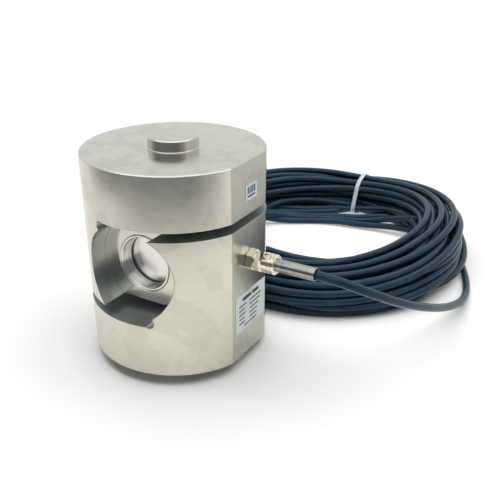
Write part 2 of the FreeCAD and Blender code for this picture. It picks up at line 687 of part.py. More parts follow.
def make_gland_nut():
    """Gland nut: a hexagon with a grooved round collar, over the sleeve's flange."""
    body = new_body("gland_nut")
    hex_end = f"({NUT_START} + sizes.nut_hex_length)"
    collar_end = f"({hex_end} + sizes.collar_length)"
    outer = "sizes.collar_diameter / 2"
    groove = "sizes.collar_groove"
    outline = profile_sketch(body, "hexagon", "YZ_Plane", hexagon("sizes.gland_hex"),
                             ("0", GLAND_AXIS, NUT_START))
    outline.setExpression("AttachmentOffset.Rotation.Angle", "sizes.nut_hex_turn")
    pad(body, "hexagon_pad", outline, "sizes.nut_hex_length")
    bevel_hexagon(body, "hexagon", NUT_START, hex_end)
    near = f"({hex_end} + sizes.groove_near)"
    far = f"({hex_end} + sizes.groove_far)"
    collar = profile_sketch(body, "collar_profile", "XZ_Plane", (
        (hex_end, "0"),
        (collar_end, "0"),
        (collar_end, f"{outer} - {groove}"),
        (f"{collar_end} - {groove}", outer),
        (f"{far} + {groove}", outer),
        (f"{far} + {groove}", f"{outer} - {groove}"),
        (far, f"{outer} - {groove}"),
        (far, outer),
        (f"{near} + {groove}", outer),
        (f"{near} + {groove}", f"{outer} - {groove}"),
        (near, f"{outer} - {groove}"),
        (near, outer),
        (hex_end, outer),
    ), ("0", GLAND_AXIS, "0"))
    turn(body, "collar", collar, "H_Axis")
    thread = "sizes.nipple_diameter / 2 + sizes.thread_clearance"
    sleeve = "sizes.sleeve_diameter / 2 + sizes.thread_clearance"
    bore = profile_sketch(body, "bore_profile", "XZ_Plane", (
        (NUT_START, "0"),
        (collar_end, "0"),
        (collar_end, sleeve),
        (NUT_SHOULDER, sleeve),
        (NUT_SHOULDER, thread),
        (NUT_START, thread),
    ), ("0", GLAND_AXIS, "0"))
    turn(body, "bore", bore, "H_Axis", cut=True)


def make_cable_sleeve():
    """Metal bend sleeve, held by its flange between the seal and the nut."""
    body = new_body("cable_sleeve")
    outer = "sizes.sleeve_diameter / 2"
    inner = f"{outer} - sizes.sleeve_wall"
    mouth = f"{FLAT} + sizes.sleeve_reach"
    sketch = profile_sketch(body, "profile", "XZ_Plane", (
        (SEAL_END, inner),
        (mouth, inner),
        (mouth, outer),
        (NUT_SHOULDER, outer),
        (NUT_SHOULDER, f"{outer} + sizes.sleeve_flange"),
        (SEAL_END, f"{outer} + sizes.sleeve_flange"),
    ), ("0", GLAND_AXIS, "0"))
    turn(body, "turned", sketch, "H_Axis")


def make_label(label, width, height, low, shift):
    """Thin label on the flat."""
    body = new_body(label)
    sketch = profile_sketch(body, "outline", "YZ_Plane", rectangle(
        f"{shift} - {width} / 2", f"{shift} + {width} / 2", low, f"{low} + {height}",
    ), ("0", "0", FLAT))
    pad(body, "sheet", sketch, "sizes.label_thickness")


def gland_point(along):
    """Point on the gland's axis at a distance along X."""
    return Vector(value(along), 0, value(GLAND_AXIS))


def lead_route():
    """Points of the free lead, from inside the bend sleeve to the coil."""
    start = gland_point(LEAD_START)
    return (start, start + Vector(value("sizes.lead_straight"), 0, 0), *LEAD_BEND)


def make_cable():
    """Cable in the gland, the free lead, the tail and the tail's bare cores."""
    diameter = value("sizes.cable_diameter")
    held = doc.addObject("Part::Cylinder", "cable_in_gland")
    held.setExpression("Radius", CABLE_RADIUS)
    held.setExpression("Height", f"{LEAD_START} - {JACKET_END}")
    held.Placement = FreeCAD.Placement(Vector(), FreeCAD.Rotation(Vector(0, 1, 0), 90))
    held.setExpression("Placement.Base.x", JACKET_END)
    held.setExpression("Placement.Base.z", GLAND_AXIS)
    keep(held, "cable_in_gland")
    make_tube("cable_lead", lead_route(), diameter, CORD_SHARE)
    make_tube("cable_tail", TAIL_ROUTE, diameter, CORD_SHARE)

    end = TAIL_ROUTE[-1]
    ahead = (end - TAIL_ROUTE[-2]).normalize()
    aside = ahead.cross(Vector(0, 0, 1)).normalize()
    core = value("sizes.core_diameter")
    for label, (place, lift), spread, reach in CORES:
        start = end + aside * place + Vector(0, 0, lift)
        floor_level = core / 2 - start.z
        points = (
            start,
            start + ahead * (CORE_BEND * reach),
            start + ahead * (CORE_TOUCH * reach) + aside * (CORE_TURN * spread) + Vector(0, 0, floor_level),
            start + ahead * reach + aside * spread + Vector(0, 0, floor_level),
        )
        make_tube(label, points, core, CORD_SHARE)


def route_cutter(name, route):
    """Tube that clears the cable where it enters the coil, with a flat end that the cable meets."""
    cutter = doc.addObject("Part::Feature", name)
    diameter = value("sizes.cable_diameter + 2 * sizes.route_clearance")
    cutter.Shape = tube_solid(name, route, diameter, CORD_SHARE)
    return cutter


def rounded_frame(name, length, width, height, low, radius):
    """Block across the tied bundle, rounded about the bundle's run."""
    body = doc.addObject("PartDesign::Body", name)
    sketch = profile_sketch(body, "outline", "YZ_Plane", rectangle(
        f"{BUNDLE_Y} - {width} / 2", f"{BUNDLE_Y} + {width} / 2", low, f"{low} + {height}",
    ), ("0", "0", "sizes.coil_x"))
    block = pad(body, "block", sketch, length, both_ways=True)
    runs = edge_names(block, lambda edge: edge.BoundBox.XLength > SAME_LENGTH)
    fillet(body, "round", block, runs, radius)
    return body


def boolean(kind, name, base, tool):
    """Cut or fuse two objects."""
    result = doc.addObject(f"Part::{kind}", name)
    result.Base = base
    result.Tool = tool
    return result


def make_cable_coil():
    """Outer shape of the loose coil, with a waist where the tie squeezes it."""
    ring = doc.addObject("PartDesign::Body", "coil_ring")
    inner, outer, height = "sizes.coil_inner", "sizes.coil_outer", "sizes.coil_height"
    upper, foot = "sizes.coil_round", "sizes.coil_foot"
    section = profile_sketch(ring, "section", "XZ_Plane", (
        (f"{inner} + {foot}", "0"),
        (f"{outer} - {foot}", "0"),
        (outer, foot),
        (outer, f"{height} - {upper}"),
        (f"{outer} - {upper}", height),
        (f"{inner} + {upper}", height),
        (inner, f"{height} - {upper}"),
        (inner, foot),
    ), ("sizes.coil_x", "0", "-sizes.coil_y"))
    turn(ring, "turned", section, "V_Axis")
    gap_width = "sizes.tie_head_side + 2 * sizes.tie_gap"
    gap = box("tie_gap_box", gap_width, "sizes.coil_outer", "sizes.coil_height",
              (f"sizes.coil_x - ({gap_width}) / 2", "sizes.coil_y", "0"))
    waist = rounded_frame("tied_bundle", gap_width, "sizes.bundle_width", "sizes.bundle_height",
                          "sizes.tie_thickness + sizes.tie_clearance", "sizes.bundle_round")
    opened = boolean("Cut", "coil_opened", ring, gap)
    joined = boolean("Fuse", "coil_joined", opened, waist)
    lead_cut = boolean("Cut", "coil_lead_cut", joined, route_cutter("lead_cutter", lead_route()))
    tail_cut = boolean("Cut", "cable_coil", lead_cut, route_cutter("tail_cutter", TAIL_ROUTE))
    keep(tail_cut, "cable_coil")


def make_cable_tie():
    """Cable tie: a strap round the tied bundle with its head on the outer side."""
    opening = "(sizes.bundle_height + 2 * sizes.tie_clearance)"
    wall = "2 * sizes.tie_thickness"
    corner = "sizes.bundle_round + sizes.tie_clearance"
    outside = rounded_frame("tie_outside", "sizes.tie_width", f"({TIE_OPENING} + {wall})",
                            f"({opening} + {wall})", "0", f"{corner} + sizes.tie_thickness")
    inside = rounded_frame("tie_inside", "2 * sizes.tie_width", TIE_OPENING, opening,
                           "sizes.tie_thickness", corner)
    strap = boolean("Cut", "tie_strap", outside, inside)
    head = box("tie_head", "sizes.tie_head_side", "sizes.tie_head_depth", "sizes.tie_head_side", (
        "sizes.coil_x - sizes.tie_head_side / 2",
        f"{BUNDLE_Y} + {TIE_OPENING} / 2",
        "sizes.tie_thickness + sizes.bundle_height / 2 - sizes.tie_head_side / 2",
    ))
    keep(boolean("Fuse", "cable_tie", strap, head), "cable_tie")


def check_and_write():
    """Check every object and every sub-part's shape, then write one file for each sub-part."""
    doc.recompute()
    for item in doc.Objects:
        if "Invalid" in item.State or "Error" in item.State:
            raise RuntimeError(f"{item.Name} failed: {item.State}")
    for piece in nodes:
        if piece.Shape.isNull() or not piece.Shape.isValid() or not piece.Shape.Solids:
            raise RuntimeError(f"{piece.Label} has no valid solid")
    os.makedirs("parts", exist_ok=True)
    for piece in nodes:
        piece.Shape.exportStep(f"parts/{piece.Label}.step")
        print(f"{piece.Label}: {len(piece.Shape.Solids)} solid(s), {piece.Shape.Volume:.1f} mm3")


make_body()
make_load_stud("top_load_stud", top=True)
make_load_stud("bottom_load_stud", top=False)
for end_name, end_side in (("front", FRONT), ("rear", REAR)):
    make_seal_ring(f"{end_name}_seal_ring", end_side)
    make_cover(f"{end_name}_cover", end_side)
    make_gauge(f"{end_name}_gauge", end_side)
make_terminal_board()
make_trim_resistors()
make_signal_wires()
make_bridge_leads()
make_gland_body()
make_gland_seal()
make_gland_nut()
make_cable_sleeve()
make_label("wiring_label", "sizes.label_width", "sizes.label_height",
           "sizes.stud_height + sizes.label_bottom", "sizes.label_shift")
make_label("plain_label", "sizes.badge_width", "sizes.badge_height",
           f"{BODY_TOP} - sizes.badge_drop - sizes.badge_height", "sizes.badge_shift")
make_cable()
make_cable_coil()
make_cable_tie()
check_and_write()
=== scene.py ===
"""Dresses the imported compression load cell.

Every node gets its finish. The coiled cable, its tie, its stripped core ends, the labels' print and the
studio are added.
"""

import logging
import math
from dataclasses import dataclass
from enum import Enum

import bmesh
import bpy
import numpy as np
from mathutils import Matrix, Vector

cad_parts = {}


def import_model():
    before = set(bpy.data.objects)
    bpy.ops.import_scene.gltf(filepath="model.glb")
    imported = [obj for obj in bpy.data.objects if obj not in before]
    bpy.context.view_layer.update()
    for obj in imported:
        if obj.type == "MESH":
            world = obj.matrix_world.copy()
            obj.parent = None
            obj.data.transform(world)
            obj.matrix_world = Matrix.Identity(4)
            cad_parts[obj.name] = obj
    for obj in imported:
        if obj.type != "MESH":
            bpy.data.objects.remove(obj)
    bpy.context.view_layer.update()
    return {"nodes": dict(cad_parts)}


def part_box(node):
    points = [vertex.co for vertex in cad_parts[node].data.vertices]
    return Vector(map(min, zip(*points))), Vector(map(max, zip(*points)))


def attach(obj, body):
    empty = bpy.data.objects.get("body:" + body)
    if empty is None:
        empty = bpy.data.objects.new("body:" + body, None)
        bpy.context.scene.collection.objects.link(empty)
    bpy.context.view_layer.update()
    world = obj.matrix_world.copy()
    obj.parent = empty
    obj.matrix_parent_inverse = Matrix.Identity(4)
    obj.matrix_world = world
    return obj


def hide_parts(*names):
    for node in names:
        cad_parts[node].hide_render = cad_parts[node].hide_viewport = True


LOG = logging.getLogger("load_cell")
BODY = "root"
MM = 0.001
FULL_TURN = 2.0 * math.pi
# Places of the colour sockets on a Mix node.
MIX_FIRST = 6
MIX_SECOND = 7
MIX_RESULT = 2

Color = tuple[float, float, float]
Point = tuple[float, float, float]
Nodes = dict[str, bpy.types.Object]
Range = tuple[float, float]
Feed = bpy.types.NodeSocket | float | tuple[float, ...]

WHITE: Color = (1.0, 1.0, 1.0)
MIDDLE_HEIGHT = 70.5 * MM
GLAND_HEIGHT = 71.7 * MM


class Effect(Enum):
    """Shader node groups that several finishes share."""

    CLOUDY_TONE = "cloudy_tone"
    TURNED_GRAIN = "turned_grain"
    FINE_SPECKS = "fine_specks"
    EDGE_RUB = "edge_rub"
    SKIN_RIPPLE = "skin_ripple"
    WORKED_FACE = "worked_face"
    PLATING_STAIN = "plating_stain"
    BORED_WALL = "bored_wall"


class Socket(Enum):
    """Kinds of socket on a node group."""

    VALUE = "NodeSocketFloat"
    VECTOR = "NodeSocketVector"
    COLOR = "NodeSocketColor"


class TurningAxis(Enum):
    """Axis that a piece was turned or drawn about, with the point that the axis goes through."""

    LOAD = ("Z", (0.0, 0.0, 1.0), (0.0, 0.0, 0.0))
    BORE = ("Y", (0.0, 1.0, 0.0), (0.0, 0.0, MIDDLE_HEIGHT))
    GLAND = ("X", (1.0, 0.0, 0.0), (0.0, 0.0, GLAND_HEIGHT))

    @property
    def letter(self) -> str:
        """Letter of the row axis that it runs along."""
        return self.value[0]

    @property
    def direction(self) -> Point:
        """Its direction."""
        return self.value[1]

    @property
    def centre(self) -> Point:
        """The point that it goes through."""
        return self.value[2]


class Side(Enum):
    """The two gauge bores."""

    FRONT = "front"
    REAR = "rear"


class NodeSheet:
    """A node tree with short ways to add nodes and join them."""

    def __init__(self, tree: bpy.types.NodeTree) -> None:
        """Keeps the node tree of a material, a world or a group."""
        self.tree = tree

    def add(self, kind: str, **settings: object) -> bpy.types.Node:
        """Adds one node.

        Args:
            kind: Blender's name of the node's type.
            settings: Attributes to set on it.

        Returns:
            The new node.
        """
        node = self.tree.nodes.new(kind)
        for name, setting in settings.items():
            setattr(node, name, setting)
        return node

    def feed(self, target: bpy.types.NodeSocket, source: Feed) -> None:
        """Links a socket to an input, or sets the input's own value.

        Args:
            target: Input socket.
            source: Output socket, number, or colour or vector.
        """
        if isinstance(source, bpy.types.NodeSocket):
            self.tree.links.new(source, target)
        elif target.type == "RGBA":
            target.default_value = (*source, 1.0)
        else:
            target.default_value = source

    def math(self, operation: str, first: Feed, second: Feed = 0.0) -> bpy.types.NodeSocket:
        """Adds a Math node.

        Args:
            operation: Blender's name of the operation.
            first: First value.
            second: Second value.

        Returns:
            The node's output.
        """
        node = self.add("ShaderNodeMath", operation=operation)
        self.feed(node.inputs[0], first)
        self.feed(node.inputs[1], second)
        return node.outputs[0]

    def times(self, first: Feed, second: Feed) -> bpy.types.NodeSocket:
        """Multiplies two values."""
        return self.math("MULTIPLY", first, second)

    def vector(self, operation: str, first: Feed, second: Feed = (0.0, 0.0, 0.0)) -> bpy.types.Node:
        """Adds a Vector Math node.

        Args:
            operation: Blender's name of the operation.
            first: First vector.
            second: Second vector.

        Returns:
            The node, whose outputs are Vector and Value.
        """
        node = self.add("ShaderNodeVectorMath", operation=operation)
        self.feed(node.inputs[0], first)
        self.feed(node.inputs[1], second)
        return node

    def dot(self, first: Feed, second: Feed) -> bpy.types.NodeSocket:
        """Gives how far one vector reaches along another."""
        return self.vector("DOT_PRODUCT", first, second).outputs["Value"]

    def scale(self, color: Feed, factor: Feed) -> bpy.types.NodeSocket:
        """Multiplies a colour or vector by one number.

        Args:
            color: Colour or vector.
            factor: Number to multiply by.

        Returns:
            The scaled colour or vector.
        """
        node = self.add("ShaderNodeVectorMath", operation="SCALE")
        self.feed(node.inputs[0], color)
        self.feed(node.inputs["Scale"], factor)
        return node.outputs["Vector"]

    def about_axis(self, place: Feed, axis: Feed, centre: Feed) -> tuple[Feed, Feed]:
        """Measures a point against an axis.

        Args:
            place: The point.
            axis: Direction of the axis.
            centre: A point that the axis goes through.

        Returns:
            Distance along the axis from that point, and distance from the axis.
        """
        offset = self.vector("SUBTRACT", place, centre).outputs["Vector"]
        along = self.dot(offset, axis)
        off_axis = self.vector("SUBTRACT", offset, self.scale(axis, along)).outputs["Vector"]
        return along, self.vector("LENGTH", off_axis).outputs["Value"]

    def between(self, value: Feed, low: Feed, high: Feed) -> bpy.types.NodeSocket:
        """Marks values that lie between two ends with a one."""
        above = self.math("GREATER_THAN", value, low)
        return self.times(above, self.math("LESS_THAN", value, high))

    def remap(self, source: Feed, low: Feed, high: Feed, to_low: Feed, to_high: Feed) -> bpy.types.NodeSocket:
        """Adds a Map Range node.

        Args:
            source: Value to map.
            low: Lower end of its range.
            high: Upper end of its range.
            to_low: Result at the lower end.
            to_high: Result at the upper end.

        Returns:
            The mapped value, held between the two results.
        """
        node = self.add("ShaderNodeMapRange", clamp=True)
        for index, value in enumerate((source, low, high, to_low, to_high)):
            self.feed(node.inputs[index], value)
        return node.outputs[0]

    def noise(self, place: Feed, size: Feed, detail: float = 2.0, line: bool = False) -> bpy.types.NodeSocket:
        """Adds a Noise Texture.

        Args:
            place: Coordinates, or one number if line is true.
            size: Scale of the noise.
            detail: Octaves of finer noise.
            line: Whether the noise runs along one number.

        Returns:
            The noise's value.
        """
        node = self.add("ShaderNodeTexNoise", noise_dimensions="1D" if line else "3D")
        self.feed(node.inputs["W" if line else "Vector"], place)
        self.feed(node.inputs["Scale"], size)
        self.feed(node.inputs["Detail"], detail)
        return node.outputs[0]

    def mix(self, factor: Feed, first: Feed, second: Feed) -> bpy.types.NodeSocket:
        """Mixes two colours.

        Args:
            factor: Share of the second colour.
            first: First colour.
            second: Second colour.

        Returns:
            The mixed colour.
        """
        node = self.add("ShaderNodeMix", data_type="RGBA")
        self.feed(node.inputs["Factor"], factor)
        self.feed(node.inputs[MIX_FIRST], first)
        self.feed(node.inputs[MIX_SECOND], second)
        return node.outputs[MIX_RESULT]

    def group(self, effect: Effect, **feeds: Feed) -> bpy.types.Node:
        """Places a shared effect.

        Args:
            effect: The effect.
            feeds: What its named inputs take.

        Returns:
            The group node.
        """
        node = self.add("ShaderNodeGroup", node_tree=EffectShelf.get(effect))
        for name, source in feeds.items():
            self.feed(node.inputs[name], source)
        return node


class EffectShelf:
    """Builds each shared effect once and hands it out.

    Sockets are of the kind that their name has in the table, and otherwise plain values.
    """

    KINDS: dict[str, Socket] = {
        "Vector": Socket.VECTOR, "Normal": Socket.VECTOR, "Axis": Socket.VECTOR, "Centre": Socket.VECTOR,
        "Base": Socket.COLOR, "Color": Socket.COLOR,
    }
    CLOUD_RATIO: float = 5.3
    CLOUD_SHARES: Range = (0.7, 0.3)
    CLOUD_WINDOW: Range = (0.39, 0.61)
    GRAIN_FACING: Range = (0.6, 0.8)
    WAVER_SCALE: float = 18.0
    WAVER_DEPTH: float = 0.0006
    BROAD_RATIO: float = 0.11
    SPECK_EDGE: float = 0.78
    SPECK_GAIN: float = 0.3
    SPECK_FADE: float = 0.06
    # Edges: their rounded shading, and where they are lightened, partly as rubbed wear and partly as a
    # painted highlight.
    RUB_AND_HIGHLIGHT_SAMPLES: int = 4
    RUB_AND_HIGHLIGHT_TURN: Range = (0.97, 0.86)
    RUB_AND_HIGHLIGHT_SCALE: float = 160.0
    RUB_AND_HIGHLIGHT_WINDOW: Range = (0.35, 0.6)
    RUB_AND_HIGHLIGHT_LEAST: float = 0.35
    WEAR_RATIO: float = 0.09
    WEAR_WINDOW: Range = (0.35, 0.65)
    FLAT_FACING: float = 0.9
    STAIN_CORE: Range = (0.53, 0.56)
    STAIN_HAZE: Range = (0.42, 0.60)
    STAIN_SHARES: Range = (0.55, 0.45)

    @classmethod
    def get(cls, effect: Effect) -> bpy.types.NodeTree:
        """Gives the group of an effect.

        Args:
            effect: The effect.

        Returns:
            Its node group, built when first asked for.
        """
        known = bpy.data.node_groups.get(effect.value)
        if known:
            return known
        makers = {
            Effect.CLOUDY_TONE: cls._cloudy_tone,
            Effect.TURNED_GRAIN: cls._turned_grain,
            Effect.FINE_SPECKS: cls._fine_specks,
            Effect.EDGE_RUB: cls._edge_rub,
            Effect.SKIN_RIPPLE: cls._skin_ripple,
            Effect.WORKED_FACE: cls._worked_face,
            Effect.PLATING_STAIN: cls._plating_stain,
            Effect.BORED_WALL: cls._bored_wall,
        }
        tree = bpy.data.node_groups.new(effect.value, "ShaderNodeTree")
        makers[effect](tree)
        return tree

    @classmethod
    def _open(
        cls, tree: bpy.types.NodeTree, inputs: tuple[str, ...], outputs: tuple[str, ...]
    ) -> tuple[NodeSheet, bpy.types.Node, bpy.types.Node]:
        """Makes a group's sockets.

        Args:
            tree: The new group.
            inputs: Names of its inputs.
            outputs: Names of its outputs.

        Returns:
            The group's sheet, its input node and its output node.
        """
        for way, names in (("INPUT", inputs), ("OUTPUT", outputs)):
            for name in names:
                kind = cls.KINDS.get(name, Socket.VALUE)
                tree.interface.new_socket(name=name, in_out=way, socket_type=kind.value)
        sheet = NodeSheet(tree)
        return sheet, sheet.add("NodeGroupInput"), sheet.add("NodeGroupOutput")

    @classmethod
    def _cloudy_tone(cls, tree: bpy.types.NodeTree) -> None:
        """Lets a colour drift in soft clouds.

        Args:
            tree: The new group.
        """
        sheet, start, end = cls._open(tree, ("Vector", "Base", "Scale", "Spread"), ("Color", "Cloud"))
        place, size = start.outputs["Vector"], start.outputs["Scale"]
        wide_share, fine_share = cls.CLOUD_SHARES
        wide = sheet.noise(place, size, detail=3.0)
        fine = sheet.noise(place, sheet.times(size, cls.CLOUD_RATIO), detail=2.0)
        cloud = sheet.math("ADD", sheet.times(wide, wide_share), sheet.times(fine, fine_share))
        cloud = sheet.remap(cloud, *cls.CLOUD_WINDOW, 0.0, 1.0)
        swing = sheet.times(sheet.math("SUBTRACT", cloud, 0.5), start.outputs["Spread"])
        sheet.feed(end.inputs["Color"], sheet.scale(start.outputs["Base"], sheet.math("ADD", swing, 1.0)))
        sheet.feed(end.inputs["Cloud"], cloud)

    @classmethod
    def _turned_grain(cls, tree: bpy.types.NodeTree) -> None:
        """Fine tool lines: along the axis on a wall, and in rings on a face across the axis.

        Args:
            tree: The new group.
        """
        sheet, start, end = cls._open(
            tree, ("Vector", "Normal", "Axis", "Centre", "Lines"), ("Height", "Shade", "Face")
        )
        place, axis, lines = start.outputs["Vector"], start.outputs["Axis"], start.outputs["Lines"]
        along, radius = sheet.about_axis(place, axis, start.outputs["Centre"])
        facing = sheet.math("ABSOLUTE", sheet.dot(start.outputs["Normal"], axis))
        face = sheet.remap(facing, *cls.GRAIN_FACING, 0.0, 1.0)
        reach = sheet.times(sheet.math("SUBTRACT", radius, along), face)
        across = sheet.math("ADD", along, reach)
        waver = sheet.noise(place, cls.WAVER_SCALE, detail=1.0)
        across = sheet.math("ADD", across, sheet.times(waver, cls.WAVER_DEPTH))
        fine = sheet.noise(across, lines, detail=3.0, line=True)
        broad = sheet.noise(across, sheet.times(lines, cls.BROAD_RATIO), detail=2.0, line=True)
        sheet.feed(end.inputs["Height"], fine)
        sheet.feed(end.inputs["Shade"], broad)
        sheet.feed(end.inputs["Face"], face)

    @classmethod
    def _fine_specks(cls, tree: bpy.types.NodeTree) -> None:
        """Small separate specks.

        Args:
            tree: The new group.
        """
        sheet, start, end = cls._open(tree, ("Vector", "Scale", "Amount"), ("Mask",))
        grain = sheet.noise(start.outputs["Vector"], start.outputs["Scale"], detail=1.0)
        edge = sheet.math("SUBTRACT", cls.SPECK_EDGE, sheet.times(start.outputs["Amount"], cls.SPECK_GAIN))
        full = sheet.math("ADD", edge, cls.SPECK_FADE)
        sheet.feed(end.inputs["Mask"], sheet.remap(grain, edge, full, 0.0, 1.0))

    @classmethod
    def _edge_rub(cls, tree: bpy.types.NodeTree) -> None:
        """Rounds edges in the shading, and marks the edges that are lightened: partly wear that handling rubs
        bright, partly a painted highlight along them.

        Args:
            tree: The new group.
        """
        sheet, start, end = cls._open(tree, ("Vector", "Radius"), ("Mask", "Normal"))
        rounded = sheet.add("ShaderNodeBevel", samples=cls.RUB_AND_HIGHLIGHT_SAMPLES)
        sheet.feed(rounded.inputs["Radius"], start.outputs["Radius"])
        plain = sheet.add("ShaderNodeNewGeometry")
        turn = sheet.dot(rounded.outputs["Normal"], plain.outputs["Normal"])
        edge = sheet.remap(turn, *cls.RUB_AND_HIGHLIGHT_TURN, 0.0, 1.0)
        patchy = sheet.noise(start.outputs["Vector"], cls.RUB_AND_HIGHLIGHT_SCALE, detail=3.0)
        broken = sheet.remap(patchy, *cls.RUB_AND_HIGHLIGHT_WINDOW, cls.RUB_AND_HIGHLIGHT_LEAST, 1.0)
        sheet.feed(end.inputs["Mask"], sheet.times(edge, broken))
        sheet.feed(end.inputs["Normal"], rounded.outputs["Normal"])

    @classmethod
    def _skin_ripple(cls, tree: bpy.types.NodeTree) -> None:
        """Uneven skin of moulded, extruded or printed plastic.

        Args:
            tree: The new group.
        """
        sheet, start, end = cls._open(tree, ("Vector", "Scale"), ("Height", "Wear"))
        place, size = start.outputs["Vector"], start.outputs["Scale"]
        wear = sheet.noise(place, sheet.times(size, cls.WEAR_RATIO), detail=3.0)
        sheet.feed(end.inputs["Height"], sheet.noise(place, size, detail=3.0))
        sheet.feed(end.inputs["Wear"], sheet.remap(wear, *cls.WEAR_WINDOW, 0.0, 1.0))

    @classmethod
    def _worked_face(cls, tree: bpy.types.NodeTree) -> None:
        """Marks flat faces across a direction, between two places along it.

        Args:
            tree: The new group.
        """
        sheet, start, end = cls._open(tree, ("Vector", "Normal", "Axis", "Near", "Far"), ("Mask",))
        axis = start.outputs["Axis"]
        along = sheet.dot(start.outputs["Vector"], axis)
        facing = sheet.math("ABSOLUTE", sheet.dot(start.outputs["Normal"], axis))
        across = sheet.math("GREATER_THAN", facing, cls.FLAT_FACING)
        inside = sheet.between(along, start.outputs["Near"], start.outputs["Far"])
        sheet.feed(end.inputs["Mask"], sheet.times(inside, across))

    @classmethod
    def _plating_stain(cls, tree: bpy.types.NodeTree) -> None:
        """Marks irregular patches with clear edges, as on nickel that was handled.

        Args:
            tree: The new group.
        """
        sheet, start, end = cls._open(tree, ("Vector", "Scale"), ("Mask",))
        core_share, haze_share = cls.STAIN_SHARES
        patch = sheet.noise(start.outputs["Vector"], start.outputs["Scale"], detail=5.0)
        core = sheet.remap(patch, *cls.STAIN_CORE, 0.0, core_share)
        haze = sheet.remap(patch, *cls.STAIN_HAZE, 0.0, haze_share)
        sheet.feed(end.inputs["Mask"], sheet.math("ADD", core, haze))

    @classmethod
    def _bored_wall(cls, tree: bpy.types.NodeTree) -> None:
        """Marks the wall of a bore about an axis, between two distances from its centre, where painted shade
        goes.

        Args:
            tree: The new group.
        """
        sheet, start, end = cls._open(
            tree, ("Vector", "Axis", "Centre", "Radius", "Slack", "Near", "Far"), ("Mask",)
        )
        place, axis = start.outputs["Vector"], start.outputs["Axis"]
        along, radius = sheet.about_axis(place, axis, start.outputs["Centre"])
        miss = sheet.math("ABSOLUTE", sheet.math("SUBTRACT", radius, start.outputs["Radius"]))
        on_wall = sheet.math("LESS_THAN", miss, start.outputs["Slack"])
        stretch = sheet.between(sheet.math("ABSOLUTE", along), start.outputs["Near"], start.outputs["Far"])
        sheet.feed(end.inputs["Mask"], sheet.times(on_wall, stretch))


def blank_material(name: str) -> tuple[bpy.types.Material, NodeSheet]:
    """Makes a material with no nodes.

    Args:
        name: The material's name.

    Returns:
        The material and its sheet.
    """
    material = bpy.data.materials.new(name)
    material.use_nodes = True
    sheet = NodeSheet(material.node_tree)
    sheet.tree.nodes.clear()
    return material, sheet


def show_surface(sheet: NodeSheet, surface: bpy.types.NodeSocket) -> None:
    """Feeds a shader to the material's output."""
    sheet.feed(sheet.add("ShaderNodeOutputMaterial").inputs["Surface"], surface)


def start_material(name: str) -> tuple[bpy.types.Material, NodeSheet, bpy.types.Node, bpy.types.Node]:
    """Makes a material with a Principled shader and object coordinates.

    Args:
        name: The material's name.

    Returns:
        The material, its sheet, the shader and the coordinates' node.
    """
    material, sheet = blank_material(name)
    shader = sheet.add("ShaderNodeBsdfPrincipled")
    show_surface(sheet, shader.outputs["BSDF"])
    return material, sheet, shader, sheet.add("ShaderNodeTexCoord")


def add_bump(
    sheet: NodeSheet, shader: bpy.types.Node, height: Feed, depth: float, strength: float
) -> bpy.types.Node:
    """Feeds a Bump node into the shader's Normal.

    Args:
        sheet: The material's sheet.
        shader: Its Principled shader.
        height: Height over the surface.
        depth: Depth of the relief in metres.
        strength: How strongly it shows.

    Returns:
        The Bump node.
    """
    bump = sheet.add("ShaderNodeBump")
    bump.inputs["Strength"].default_value = strength
    bump.inputs["Distance"].default_value = depth
    sheet.feed(bump.inputs["Height"], height)
    sheet.feed(shader.inputs["Normal"], bump.outputs["Normal"])
    return bump


@dataclass(frozen=True)
class BoredWall:
    """The wall of a bore, whose tone is painted shade: its axis, radius, how near a point lies to it, tone,
    roughness and stretch.
    """

    axis: TurningAxis
    radius: float
    slack: float
    color: Color
    roughness: float
    near: float = -1.0
    far: float = 1.0


@dataclass(frozen=True)
class WorkedFace:
    """Flat faces that were ground or cut: where they lie along an axis, their tone, darkened in part as
    painted shade, and their roughness.
    """

    axis: Point
    near: float
    far: float
    color: Color
    roughness: float


